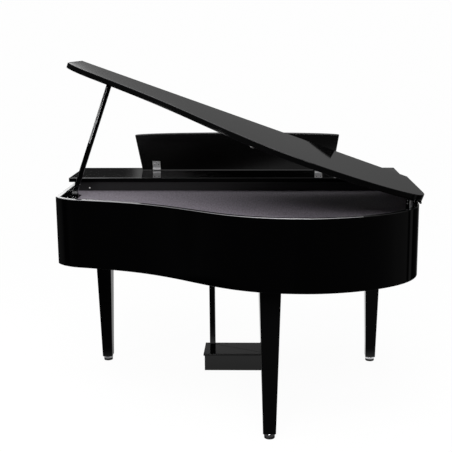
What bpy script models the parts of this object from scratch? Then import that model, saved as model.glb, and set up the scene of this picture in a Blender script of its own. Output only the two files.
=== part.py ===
"""Digital grand piano, at real size, in metres, +Z up.

The player sits at -Y, the curved tail points to +Y and the treble side is +X.  The lid is
hinged along the bass side and stands open on its prop stick.  Pieces are modelled about a
working datum: X = 0 is the middle of the case and Y = 0 is the rear edge of the top board.
One empty moves that datum so that the finished piano stands centred on the origin.
"""
import math

import bmesh
import bpy
from mathutils import Vector, geometry

# Case
RIM_WIDTH = 1.442
RIM_WALL = 0.020
RIM_BOTTOM = 0.604
RIM_HEIGHT = 0.277
TAIL_REACH = 0.737
BASS_STRAIGHT = 0.410
TREBLE_STRAIGHT = 0.269
KEY_ZONE = 0.1835
ARM_HEIGHT = 0.186
# How the top of each arm runs, as (way, rise): from the shoulder at the board, and from its nose
ARM_SHOULDER = ((0.0, 0.056), (-0.008, 0.030), (-0.020, 0.008), (-0.038, 0.0))
ARM_NOSE = ((0.020, -0.004), (0.006, -0.012), (0.0, -0.030))
FLOOR_PANEL_THICK = 0.012
COVER_PANEL_THICK = 0.008
COVER_PANEL_DROP = 0.0225
COVER_PANEL_FRONT = 0.030
SEAT = 0.0003
EDGE_BEVEL = 0.0015
FINE_BEVEL = 0.0010
CUT_PAST = 0.020
WELD_IN = 0.001

# Top board and the panels that carry it
BOARD_DEPTH = 0.3215
BOARD_THICK = 0.018
BOARD_LIFT = 0.016
BOARD_OVERHANG = 0.004
INNER_PANEL_THICK = 0.012
INNER_PANEL_SETBACK = 0.008
FASCIA_THICK = 0.012
FASCIA_SETBACK = 0.006

# Lid, hinges and prop
LID_THICK = 0.022
LID_OVERHANG = 0.015
LID_SHIFT = 0.0105
LID_GAP = 0.020
LID_FRONT_GAP = 0.0015
LID_ANGLE = math.radians(19.67)
LID_BEVEL = 0.002
HINGE_OUT = 0.0052
HINGE_UP = 0.0015
HINGE_LENGTH = 0.060
HINGE_KNUCKLE = 0.020
HINGE_RADIUS = 0.0045
HINGE_LEAF = 0.002
HINGE_REACH = 0.032
HINGE_INSET = 0.0035
HINGE_STRAP_LAP = 0.006
HINGE_PLACES = {"front": 0.075, "tail": 0.400}
PROP_WIDTH = 0.020
PROP_THICK = 0.014
PROP_Y = 0.150
PROP_INSET = 0.033
PROP_PIVOT_ABOVE_PANEL = 0.0175
PROP_TAIL = 0.009
PROP_PIN = 0.003
PROP_PIN_CLEARANCE = 0.0004
PROP_CUP = (0.034, 0.026, 0.005)
EAR_THICK = 0.0035
EAR_HEIGHT = 0.018
EAR_CLEARANCE = 0.0006
BRACKET_PLATE = 0.003
BRACKET_LUG = 0.006

# Music desk
DESK_TOP_WIDTH = 0.916
DESK_FOOT_WIDTH = 0.872
DESK_HEIGHT = 0.172
DESK_CROWN = 0.012
DESK_THICK = 0.012
DESK_LEAN = math.radians(19.0)
DESK_Y = 0.235
DESK_BARREL = 0.0055
DESK_LEDGE_REACH = 0.028
DESK_LEDGE_THICK = 0.008
DESK_LEDGE_INSET = 0.020
DESK_FOOT_DROP = 0.002
DESK_HINGE_X = 0.370
DESK_HINGE_WIDTH = 0.035
DESK_HINGE_HEIGHT = 0.038
DESK_HINGE_LEAF = 0.0022

# Keys
KEY_PITCH = 0.0235
KEY_GAP = 0.001
WHITE_LENGTH = 0.150
WHITE_HEAD = 0.050
KEY_TAIL = 0.0505
KEY_SPINE = 0.015
WHITE_THICK = 0.022
WHITE_TOP = 0.735
BLACK_WIDTH = 0.0110
BLACK_RISE = 0.013
BLACK_UNDER = 0.0008
BLACK_CLEARANCE = 0.0012
BLACK_FRONT_CLEARANCE = 0.0014
KEYBED_THICK = 0.026
KEYBED_REAR = 0.020
KEY_SLIP_THICK = 0.0175
KEY_SLIP_RISE = 0.120
KEY_SLIP_CLEARANCE = 0.0018
KEY_FRAME_BASE = 0.010
KEY_REST = 0.0007
KEY_FRAME_IN = 0.012
KEY_FRAME_OUT = 0.010
FRONT_RAIL_BACK = 0.040
FRONT_RAIL_DEPTH = 0.024
FRONT_RAIL_RISE = 0.062
COVER_LENGTH = 0.166
COVER_THICK = 0.012
COVER_ABOVE_BLACK = 0.0095
COVER_PULL = (0.180, 0.008, 0.004)
COVER_PARKED_BACK = 0.0125
COVER_SIDE_GAP = 0.0005
BLOCK_REAR = 0.160

# Controls on the fascia
PANEL_AXIS_HEIGHT = 0.062
DISPLAY_SIZE = (0.110, 0.034, 0.0026)
KNOB_RADIUS = 0.014
KNOB_LENGTH = 0.013
KNOB_SHAFT = 0.003
KNOB_TAPER = 0.92
KNOB_X = -0.300
BUTTON_RADIUS = 0.006
BUTTON_PROUD = 0.0028
BUTTON_DEPTH = 0.006
BUTTON_HOLE_DEPTH = 0.0088
BUTTON_CLEARANCE = 0.0006
POWER_INSET = 0.161
MODE_X = 0.110

# Pedals
PEDAL_BOX_WIDTH = 0.300
PEDAL_BOX_DEPTH = 0.150
PEDAL_BOX_HEIGHT = 0.070
PEDAL_BOX_LIFT = 0.014
PEDAL_BOX_NEAR = 0.063
PEDAL_TOP_OVERHANG = 0.005
PEDAL_TOP_THICK = 0.010
POST_SIDE = 0.026
POST_X = 0.1165
POST_Y = 0.145
PEDAL_PITCH = 0.062
PEDAL_WIDTH = 0.023
PEDAL_NECK = 0.015
PEDAL_NECK_LENGTH = 0.030
PEDAL_BLADE_START = 0.050
PEDAL_PIN_PART = 0.45
PEDAL_PIN_CLEARANCE = 0.0004
PEDAL_THICK = 0.007
PEDAL_REACH = 0.088
PEDAL_SLOT = (0.028, 0.085, 0.022)
PEDAL_SLOT_FLOOR = 0.0145
PEDAL_AXIS_IN = 0.063
PEDAL_AXIS_UP = 0.027
PEDAL_HEEL = 0.012

# Legs
LEG_WIDE = (0.086, 0.050)
LEG_NARROW = (0.074, 0.046)
FOOT_HEIGHT = 0.022
FOOT_RING = 0.0215
FOOT_GLIDE = 0.0180
FOOT_GLIDE_HEIGHT = 0.010
GLIDE_TAPER = 0.001
FRONT_LEG_INSET = 0.096
FRONT_LEG_BACK = 0.245
TAIL_LEG_INSET = 0.117
TAIL_LEG_X = -0.145

# Inside and underneath
SPEAKER_BOX = (0.240, 0.200, 0.180)
SPEAKER_X = 0.330
SPEAKER_Y = 0.160
CONE_RADIUS = (0.078, 0.030)
CONE_DEPTH = 0.045
MAIN_BOARD = (0.220, 0.140, 0.0018)
MAIN_BOARD_Y = 0.300
STANDOFF_RADIUS = 0.0035
STANDOFF_HEIGHT = 0.010
STANDOFF_INSET = 0.010
CHIPS = ((-0.050, -0.020, 0.028, 0.004), (0.020, 0.020, 0.018, 0.004),
         (0.070, -0.025, 0.022, 0.018))
SOCKET_BOX = (0.260, 0.070, 0.050)
SOCKET_BOX_X = -0.300
SOCKET_BOX_Y = 0.150
INLET = (0.027, 0.016, 0.020)
INLET_OFFSET = 0.090

# Heights and places worked out from the sizes above
RIM_TOP = RIM_BOTTOM + RIM_HEIGHT
RIM_HALF = RIM_WIDTH / 2
INNER_HALF = RIM_HALF - RIM_WALL - SEAT
FRONT_Y = -(BOARD_DEPTH + KEY_ZONE)
BOARD_UNDER = RIM_TOP + BOARD_LIFT
BOARD_TOP = BOARD_UNDER + BOARD_THICK
COVER_PANEL_TOP = RIM_TOP - COVER_PANEL_DROP
BODY_FLOOR = RIM_BOTTOM + FLOOR_PANEL_THICK
LID_HALF = RIM_HALF + LID_OVERHANG
LID_UNDER = RIM_TOP + LID_GAP
LID_TOP = LID_UNDER + LID_THICK
LID_AXIS = Vector((-(RIM_HALF + HINGE_OUT), 0.0, RIM_TOP + HINGE_UP))
BUTTONS = {"power_button": -(RIM_HALF - POWER_INSET), "mode_button": MODE_X}
FRONT_LEG_X = RIM_HALF - FRONT_LEG_INSET
FRONT_LEG_Y = -FRONT_LEG_BACK
TAIL_LEG_Y = TAIL_REACH - TAIL_LEG_INSET
KEYBED_TOP = RIM_BOTTOM + KEYBED_THICK
KEY_FRONT = FRONT_Y + KEY_SLIP_THICK + SEAT + KEY_SLIP_CLEARANCE
KEY_BACK = KEY_FRONT + WHITE_LENGTH + KEY_TAIL
KEY_AXIS_Y = KEY_BACK - KEY_SPINE / 2
KEY_AXIS_Z = WHITE_TOP + BLACK_UNDER / 2
BLACK_BOTTOM = WHITE_TOP + BLACK_UNDER
BLACK_TOP = WHITE_TOP + BLACK_RISE
COVER_BOTTOM = BLACK_TOP + COVER_ABOVE_BLACK
COVER_TOP = COVER_BOTTOM + COVER_THICK
COVER_FRONT = -BOARD_DEPTH - COVER_PARKED_BACK
FASCIA_FRONT = -BOARD_DEPTH + FASCIA_SETBACK
PANEL_AXIS_Z = COVER_TOP + PANEL_AXIS_HEIGHT
PEDAL_TOP_BASE = PEDAL_BOX_LIFT + PEDAL_BOX_HEIGHT + SEAT
POST_FOOT = PEDAL_TOP_BASE + PEDAL_TOP_THICK + SEAT
KEY_COUNT = 52
FIRST_MIDDLE = 23
LAST_MIDDLE = 29
BLACK_AFTER = {0: -0.0020, 1: 0.0020, 3: -0.0030, 4: 0.0, 5: 0.0030}
NOTE_NAMES = "cdefgab"


# The lid's top corner on the bass side, once the treble side has been lifted
OPEN_EDGE = (LID_AXIS.x + (LID_SHIFT - LID_HALF - LID_AXIS.x) * math.cos(LID_ANGLE)
             - (LID_TOP - LID_AXIS.z) * math.sin(LID_ANGLE))
CASE_SHIFT = Vector((-(OPEN_EDGE + RIM_HALF + BOARD_OVERHANG) / 2,
                     -(FRONT_Y + TAIL_REACH + LID_OVERHANG) / 2, 0.0))


def clear_scene():
    """Start from an empty file."""
    for obj in list(bpy.data.objects):
        bpy.data.objects.remove(obj, do_unlink=True)


def new_collection(name):
    """A collection linked to the scene."""
    collection = bpy.data.collections.new(name)
    bpy.context.scene.collection.children.link(collection)
    return collection


clear_scene()
PARTS = new_collection("digital_grand_piano")
CUTTERS = new_collection("cutters")


def finish(name, colour, roughness, metallic=0.0):
    """One Principled material."""
    material = bpy.data.materials.new(name)
    material.use_nodes = True
    shader = material.node_tree.nodes["Principled BSDF"]
    shader.inputs["Base Color"].default_value = (*colour, 1.0)
    shader.inputs["Roughness"].default_value = roughness
    shader.inputs["Metallic"].default_value = metallic
    return material


LACQUER = finish("black_lacquer", (0.004, 0.004, 0.005), 0.06)
SATIN = finish("satin_black", (0.012, 0.012, 0.013), 0.35)
SPECKLE = finish("speckled_panel", (0.085, 0.078, 0.088), 0.80)
IVORY = finish("white_key", (0.82, 0.80, 0.75), 0.25)
EBONY = finish("black_key", (0.010, 0.010, 0.010), 0.30)
CHROME = finish("chrome", (0.80, 0.80, 0.82), 0.12, 1.0)
ALUMINIUM = finish("aluminium", (0.62, 0.63, 0.65), 0.30, 1.0)
BRASS = finish("brass", (0.78, 0.57, 0.25), 0.20, 1.0)
GLASS = finish("display_glass", (0.010, 0.020, 0.030), 0.05)
BOARD = finish("bare_board", (0.32, 0.25, 0.17), 0.75)
CIRCUIT = finish("circuit_board", (0.02, 0.14, 0.05), 0.45)


def empty(name, location, parent=None, turn=(0.0, 0.0, 0.0)):
    """A joint axis or datum that carries pieces."""
    obj = bpy.data.objects.new(name, None)
    PARTS.objects.link(obj)
    obj.parent = parent
    obj.location = location
    obj.rotation_euler = turn
    return obj


DATUM = empty("piano_datum", CASE_SHIFT)


def add(name, mesh, material, parent=DATUM, location=(0.0, 0.0, 0.0)):
    """Put a finished mesh into the piano."""
    obj = bpy.data.objects.new(name, mesh)
    PARTS.objects.link(obj)
    obj.parent = parent
    obj.location = location
    mesh.materials.clear()
    mesh.materials.append(material)
    return obj


def box_mesh(name, low, high):
    """A box between two corners."""
    shape = bmesh.new()
    bmesh.ops.create_cube(shape, size=1.0)
    low, high = Vector(low), Vector(high)
    bmesh.ops.scale(shape, vec=high - low, verts=shape.verts)
    bmesh.ops.translate(shape, vec=(high + low) / 2, verts=shape.verts)
    mesh = bpy.data.meshes.new(name)
    shape.to_mesh(mesh)
    shape.free()
    return mesh


def box(name, low, high, material, parent=DATUM, location=(0.0, 0.0, 0.0)):
    """A rectangular piece."""
    return add(name, box_mesh(name, low, high), material, parent, location)


def bevelled(obj, width, segments=2):
    """Round the sharp edges of a piece."""
    bevel = obj.modifiers.new("edges", "BEVEL")
    bevel.width = width
    bevel.segments = segments
    bevel.limit_method = "ANGLE"
    return obj


def plate_mesh(name, outline, low, high):
    """A flat outline in XY, given as (x, y) points, between two heights."""
    curve = bpy.data.curves.new(name, "CURVE")
    curve.dimensions = "2D"
    curve.fill_mode = "BOTH"
    curve.extrude = (high - low) / 2
    spline = curve.splines.new("POLY")
    spline.points.add(len(outline) - 1)
    for point, (x, y) in zip(spline.points, outline):
        point.co = (x, y, 0.0, 1.0)
    spline.use_cyclic_u = True
    holder = bpy.data.objects.new(name + "_outline", curve)
    CUTTERS.objects.link(holder)
    bpy.context.view_layer.update()
    evaluated = holder.evaluated_get(bpy.context.evaluated_depsgraph_get())
    mesh = bpy.data.meshes.new_from_object(evaluated)
    bpy.data.objects.remove(holder)
    shape = bmesh.new()
    shape.from_mesh(mesh)
    bmesh.ops.remove_doubles(shape, verts=shape.verts, dist=0.00001)
    bmesh.ops.translate(shape, vec=(0.0, 0.0, (high + low) / 2), verts=shape.verts)
    bmesh.ops.recalc_face_normals(shape, faces=shape.faces)
    shape.to_mesh(mesh)
    shape.free()
    mesh.name = name
    return mesh


def stand_up(mesh):
    """Turn a plate drawn in XY into one drawn in XZ, with its thickness along Y."""
    for vertex in mesh.vertices:
        x, z, y = vertex.co
        vertex.co = (x, y, z)
    mesh.flip_normals()


def plate(name, outline, low, high, material, parent=DATUM, location=(0.0, 0.0, 0.0)):
    """A piece cut from flat stock."""
    return add(name, plate_mesh(name, outline, low, high), material, parent, location)


def rod_mesh(name, radius, start, end, segments=20, end_radius=None):
    """A round bar or cone between two points."""
    start, end = Vector(start), Vector(end)
    shape = bmesh.new()
    bmesh.ops.create_cone(shape, cap_ends=True, segments=segments, radius1=radius,
                          radius2=radius if end_radius is None else end_radius,
                          depth=(end - start).length)
    turn = Vector((0.0, 0.0, 1.0)).rotation_difference(end - start).to_matrix()
    bmesh.ops.rotate(shape, matrix=turn, verts=shape.verts)
    bmesh.ops.translate(shape, vec=(start + end) / 2, verts=shape.verts)
    mesh = bpy.data.meshes.new(name)
    shape.to_mesh(mesh)
    shape.free()
    return mesh


def tool(mesh, parent=DATUM, location=(0.0, 0.0, 0.0)):
    """A hidden shape that cuts or joins."""
    obj = bpy.data.objects.new(mesh.name + "_tool", mesh)
    CUTTERS.objects.link(obj)
    obj.parent = parent
    obj.location = location
    obj.hide_render = True
    obj.display_type = "WIRE"
    return obj


def combine(obj, mesh, operation, parent=DATUM, location=(0.0, 0.0, 0.0)):
    """Cut a mesh out of a piece, or weld it on."""
    modifier = obj.modifiers.new(mesh.name, "BOOLEAN")
    modifier.operation = operation
    modifier.solver = "EXACT"
    modifier.object = tool(mesh, parent, location)
    return obj


def turned(name, profile, material, location, segments=24):
    """A lathe-turned piece: profile runs (radius, height) from the top of the axis down."""
    mesh = bpy.data.meshes.new(name)
    edges = [(i, i + 1) for i in range(len(profile) - 1)]
    mesh.from_pydata([(r, 0.0, z) for r, z in profile], edges, [])
    obj = add(name, mesh, material, DATUM, location)
    screw = obj.modifiers.new("turn", "SCREW")
    screw.steps = segments
    screw.render_steps = segments
    screw.use_merge_vertices = True
    screw.merge_threshold = 0.00001
    return obj


def case_outline(inset, steps=9):
    """The plan of the case from the bass straight round the tail to the treble straight.

    inset moves every point inwards by that distance.  The bass side, the tail and the bent
    side are Bezier arcs between a few knots, each (point, direction, handle in, handle out).
    """
    knots = [
        ((-RIM_HALF, BASS_STRAIGHT), (0.0, 1.0), 0.0, 0.226),
        ((-0.391 * RIM_HALF, TAIL_REACH), (1.0, 0.0), 0.151, 0.368),
        ((0.660 * RIM_HALF, 0.534 * TAIL_REACH), (0.940, -0.300), 0.373, 0.171),
        ((RIM_HALF - 0.043, TREBLE_STRAIGHT + 0.056), (0.850, -0.555), 0.067, 0.015),
        ((RIM_HALF, TREBLE_STRAIGHT), (0.0, -1.0), 0.018, 0.0),
    ]
    points = []
    for (start, lead, _, out), (end, trail, back, _) in zip(knots, knots[1:]):
        start, end = Vector(start), Vector(end)
        lead, trail = Vector(lead).normalized(), Vector(trail).normalized()
        corner = (end - start).length < 0.1
        arc = geometry.interpolate_bezier(start, start + lead * out, end - trail * back, end,
                                          4 if corner else steps)
        points += arc[1:] if points else arc
    inner = []
    for i, point in enumerate(points):
        ahead = points[min(i + 1, len(points) - 1)]
        behind = points[max(i - 1, 0)]
        along = (ahead - behind).normalized()
        if i == 0:
            along = Vector((0.0, 1.0))
        if i == len(points) - 1:
            along = Vector((0.0, -1.0))
        inner.append((point.x + along.y * inset, point.y - along.x * inset))
    return inner


def case_plan(inset, front, steps=9):
    """A closed plan of the case behind the line Y = front."""
    curve = case_outline(inset, steps)
    return [(curve[0][0], front)] + curve + [(curve[-1][0], front)]


def make_case():
    """Rim with its two arms, floor panel, cover panel, inner panel and top board."""
    outer = case_plan(0.0, FRONT_Y)
    inner = case_plan(RIM_WALL, FRONT_Y)
    rim = plate("rim", outer + inner[::-1], RIM_BOTTOM, RIM_TOP, LACQUER)
    arm_top = RIM_BOTTOM + ARM_HEIGHT
    profile = [(-BOARD_DEPTH, RIM_TOP + CUT_PAST)]
    profile += [(-BOARD_DEPTH + way, arm_top + rise) for way, rise in ARM_SHOULDER]
    profile += [(FRONT_Y + way, arm_top + rise) for way, rise in ARM_NOSE]
    profile += [(FRONT_Y - CUT_PAST, profile[-1][1]), (FRONT_Y - CUT_PAST, RIM_TOP + CUT_PAST)]
    # The cutter is drawn as (y, z) and stood up so that it runs across the case.
    notch = plate_mesh("arm_notch", profile, -RIM_WIDTH, RIM_WIDTH)
    for vertex in notch.vertices:
        y, z, x = vertex.co
        vertex.co = (x, y, z)
    combine(rim, notch, "DIFFERENCE")
    floor_plan = case_plan(RIM_WALL + SEAT, -KEYBED_REAR + SEAT)
    plate("bottom_board", floor_plan, RIM_BOTTOM, BODY_FLOOR, BOARD)
    cover_plan = case_plan(RIM_WALL + SEAT, -COVER_PANEL_FRONT)
    cover_under = COVER_PANEL_TOP - COVER_PANEL_THICK
    plate("soundboard_cover", cover_plan, cover_under, COVER_PANEL_TOP, SPECKLE)
    panel_front = -INNER_PANEL_SETBACK - INNER_PANEL_THICK
    box("inner_panel", (-INNER_HALF, panel_front, COVER_PANEL_TOP + SEAT),
        (INNER_HALF, -INNER_PANEL_SETBACK, BOARD_UNDER - SEAT), LACQUER)
    board_half = RIM_HALF + BOARD_OVERHANG
    board = box("top_board", (-board_half, -BOARD_DEPTH, BOARD_UNDER),
                (board_half, 0.0, BOARD_TOP), LACQUER)
    bevelled(board, EDGE_BEVEL, 1)


def make_lid():
    """Lid and its two hinges, all turned open about the bass-side axis."""
    axis = empty("lid_axis", LID_AXIS, DATUM, (0.0, -LID_ANGLE, 0.0))
    # The lid reaches further out at the treble than at its hinged side.
    plan = [(x + LID_SHIFT - LID_AXIS.x, y) for x, y in case_plan(-LID_OVERHANG, LID_FRONT_GAP)]
    lid = plate("lid", plan, LID_UNDER - LID_AXIS.z, LID_TOP - LID_AXIS.z, LACQUER, axis)
    bevelled(lid, LID_BEVEL, 1)
    under = LID_UNDER - LID_AXIS.z - SEAT
    half = HINGE_LENGTH / 2
    middle = HINGE_KNUCKLE / 2
    leaf_low = RIM_TOP + SEAT
    leaf_high = leaf_low + HINGE_LEAF
    for place, y in HINGE_PLACES.items():
        leaf = box(f"{place}_hinge_rim_leaf", (-RIM_HALF + HINGE_INSET, y - half, leaf_low),
                   (-RIM_HALF + HINGE_REACH, y + half, leaf_high), CHROME)
        strap = box_mesh("rim_leaf_strap", (LID_AXIS.x, y - middle, leaf_low),
                         (-RIM_HALF + HINGE_STRAP_LAP, y + middle, leaf_high))
        combine(leaf, strap, "UNION")
        barrel = rod_mesh("rim_leaf_knuckle", HINGE_RADIUS, (LID_AXIS.x, y - middle, LID_AXIS.z),
                          (LID_AXIS.x, y + middle, LID_AXIS.z))
        combine(leaf, barrel, "UNION")
        web_foot = HINGE_RADIUS + HINGE_LEAF / 4
        leaf_profile = [(-HINGE_LEAF / 2, web_foot), (HINGE_LEAF / 2, web_foot),
                        (HINGE_LEAF / 2, under - HINGE_LEAF), (HINGE_REACH, under - HINGE_LEAF),
                        (HINGE_REACH, under), (-HINGE_LEAF / 2, under)]
        swing_mesh = plate_mesh(f"{place}_hinge_lid_leaf", leaf_profile, y - half, y + half)
        stand_up(swing_mesh)
        swing = add(swing_mesh.name, swing_mesh, CHROME, axis)
        for side in (-1, 1):
            near = y + side * (middle + SEAT)
            far = y + side * (half - SEAT)
            tongue = HINGE_LEAF / 2 - SEAT / 2
            web = box_mesh("lid_leaf_web", (-tongue, min(near, far) + SEAT, 0.0),
                           (tongue, max(near, far) - SEAT, web_foot + HINGE_LEAF))
            combine(swing, web, "UNION", axis)
            barrel = rod_mesh("lid_leaf_knuckle", HINGE_RADIUS, (0.0, near, 0.0), (0.0, far, 0.0))
            combine(swing, barrel, "UNION", axis)
    return axis


def make_prop(lid_axis):
    """Prop stick on its bracket, square to the open lid, and the cup that it meets."""
    pivot = Vector((RIM_HALF - RIM_WALL - PROP_INSET, PROP_Y,
                    COVER_PANEL_TOP + PROP_PIVOT_ABOVE_PANEL))
    reach = pivot - LID_AXIS
    up = -math.sin(LID_ANGLE) * reach.x + math.cos(LID_ANGLE) * reach.z
    along = math.cos(LID_ANGLE) * reach.x + math.sin(LID_ANGLE) * reach.z
    under = LID_UNDER - LID_AXIS.z
    length = under - SEAT - PROP_CUP[2] - up - SEAT
    axis = empty("prop_axis", pivot, DATUM, (0.0, -LID_ANGLE, 0.0))
    half_width, half_thick = PROP_WIDTH / 2, PROP_THICK / 2
    stick = box("prop_stick", (-half_width, -half_thick, -PROP_TAIL),
                (half_width, half_thick, length), LACQUER, axis)
    pin = half_thick + 2 * EAR_THICK
    combine(stick, rod_mesh("prop_pin", PROP_PIN, (0.0, -pin, 0.0), (0.0, pin, 0.0)), "UNION", axis)
    ear_gap = half_thick + EAR_CLEARANCE
    base = RIM_HALF - RIM_WALL - SEAT
    low, high = pivot.z - EAR_HEIGHT / 2, pivot.z + EAR_HEIGHT / 2
    wide = ear_gap + EAR_THICK + BRACKET_LUG
    bracket = box("prop_bracket", (base - BRACKET_PLATE, PROP_Y - wide, low),
                  (base, PROP_Y + wide, high), CHROME)
    for side in (-1, 1):
        near, far = PROP_Y + side * ear_gap, PROP_Y + side * (ear_gap + EAR_THICK)
        ear = box_mesh("ear", (pivot.x - EAR_HEIGHT / 2, min(near, far), low),
                       (base - BRACKET_PLATE / 2, max(near, far), high))
        combine(bracket, ear, "UNION")
    hole = rod_mesh("ear_hole", PROP_PIN + PROP_PIN_CLEARANCE, (pivot.x, PROP_Y - 2 * wide, pivot.z),
                    (pivot.x, PROP_Y + 2 * wide, pivot.z))
    combine(bracket, hole, "DIFFERENCE")
    cup_x, cup_y, cup_z = PROP_CUP
    box("prop_cup", (along - cup_x / 2, PROP_Y - cup_y / 2, under - SEAT - cup_z),
        (along + cup_x / 2, PROP_Y + cup_y / 2, under - SEAT), SATIN, lid_axis)


def make_music_desk():
    """Desk panel with its ledge, leaning back on two hinges that stand on the top board."""
    axis = empty("desk_axis", (0.0, -DESK_Y, BOARD_TOP + DESK_BARREL + SEAT), DATUM,
                 (-DESK_LEAN, 0.0, 0.0))
    rear = -DESK_BARREL
    front = rear - DESK_THICK
    foot = -DESK_BARREL - DESK_FOOT_DROP
    top = foot + DESK_HEIGHT
    crown = [(math.cos(a) * DESK_TOP_WIDTH / 2, top + DESK_CROWN * math.sin(a))
             for a in (math.pi * i / 12 for i in range(13))]
    outline = [(DESK_FOOT_WIDTH / 2, foot)] + crown + [(-DESK_FOOT_WIDTH / 2, foot)]
    panel = plate_mesh("music_desk", outline, front, rear)
    stand_up(panel)
    desk = bevelled(add("music_desk", panel, LACQUER, axis), EDGE_BEVEL, 1)
    ledge_half = DESK_FOOT_WIDTH / 2 - DESK_LEDGE_INSET
    ledge_foot = foot + DESK_FOOT_DROP
    ledge = box_mesh("desk_ledge", (-ledge_half, front - DESK_LEDGE_REACH, ledge_foot),
                     (ledge_half, front + DESK_THICK / 6, ledge_foot + DESK_LEDGE_THICK))
    combine(desk, ledge, "UNION", axis)
    half = DESK_HINGE_WIDTH / 2
    for side, x in (("treble", DESK_HINGE_X), ("bass", -DESK_HINGE_X)):
        leaf = box(f"{side}_desk_hinge", (x - half, rear + SEAT, -WELD_IN),
                   (x + half, rear + SEAT + DESK_HINGE_LEAF, DESK_HINGE_HEIGHT), ALUMINIUM, axis)
        barrel = rod_mesh("desk_barrel", DESK_BARREL, (x - half, 0.0, 0.0), (x + half, 0.0, 0.0))
        combine(leaf, barrel, "UNION", axis)


def black_keys():
    """Each black key as (index of the white key on its left, centre of its width)."""
    keys = []
    for index in range(KEY_COUNT - 1):
        note = (index + 5) % 7
        if note in BLACK_AFTER:
            edge = (index + 1 - KEY_COUNT / 2) * KEY_PITCH
            keys.append((index, edge + BLACK_AFTER[note]))
    return keys


def white_outline(first, last):
    """Plan of neighbouring white keys joined by a spine at their back."""
    notch = BLACK_WIDTH / 2 + BLACK_CLEARANCE
    cuts = dict(black_keys())
    head = KEY_FRONT + WHITE_HEAD
    spine = KEY_BACK - KEY_SPINE
    points = []
    for index in range(first, last + 1):
        left = (index - KEY_COUNT / 2) * KEY_PITCH + KEY_GAP / 2
        right = left + KEY_PITCH - KEY_GAP
        tail_left = max(left, cuts.get(index - 1, left - notch) + notch)
        tail_right = min(right, cuts.get(index, right + notch) - notch)
        back_left = KEY_BACK if index == first else spine
        back_right = KEY_BACK if index == last else spine
        steps = [(tail_left, back_left), (tail_left, head), (left, head), (left, KEY_FRONT),
                 (right, KEY_FRONT), (right, head), (tail_right, head), (tail_right, back_right)]
        for step in steps:
            if not points or math.dist(points[-1], step) > 0.00001:
                points.append(step)
    return points


def black_outline(centres):
    """Plan of black keys joined by a spine at their back."""
    front = KEY_FRONT + WHITE_HEAD + BLACK_FRONT_CLEARANCE
    spine = KEY_BACK - KEY_SPINE
    points = []
    for i, centre in enumerate(centres):
        left, right = centre - BLACK_WIDTH / 2, centre + BLACK_WIDTH / 2
        points += [(left, KEY_BACK if i == 0 else spine), (left, front), (right, front),
                   (right, KEY_BACK if i == len(centres) - 1 else spine)]
    return points


def key_piece(name, outline, low, high, material):
    """A key, or a row of keys, with its origin on the line that it turns about."""
    shifted = [(x, y - KEY_AXIS_Y) for x, y in outline]
    place = (0.0, KEY_AXIS_Y, KEY_AXIS_Z)
    return plate(name, shifted, low - KEY_AXIS_Z, high - KEY_AXIS_Z, material, DATUM, place)


def make_keys():
    """Twelve separate keys in the middle octave and a row of each colour on either side.

    The separate black keys reach down between the white ones to the rail that carries them all.
    """
    low = WHITE_TOP - WHITE_THICK
    blacks = black_keys()
    lower = white_outline(0, FIRST_MIDDLE - 1)
    upper = white_outline(LAST_MIDDLE + 1, KEY_COUNT - 1)
    key_piece("lower_white_keys", lower, low, WHITE_TOP, IVORY)
    key_piece("upper_white_keys", upper, low, WHITE_TOP, IVORY)
    below = [x for index, x in blacks if index < FIRST_MIDDLE]
    above = [x for index, x in blacks if index > LAST_MIDDLE]
    key_piece("lower_black_keys", black_outline(below), BLACK_BOTTOM, BLACK_TOP, EBONY)
    key_piece("upper_black_keys", black_outline(above), BLACK_BOTTOM, BLACK_TOP, EBONY)
    for index in range(FIRST_MIDDLE, LAST_MIDDLE + 1):
        note = NOTE_NAMES[index - FIRST_MIDDLE]
        key_piece(f"key_{note}", white_outline(index, index), low, WHITE_TOP, IVORY)
    for index, centre in blacks:
        if FIRST_MIDDLE <= index <= LAST_MIDDLE:
            note = NOTE_NAMES[index - FIRST_MIDDLE]
            sharp = black_outline([centre])
            key_piece(f"key_{note}_sharp", sharp, low, BLACK_TOP, EBONY)


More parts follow.
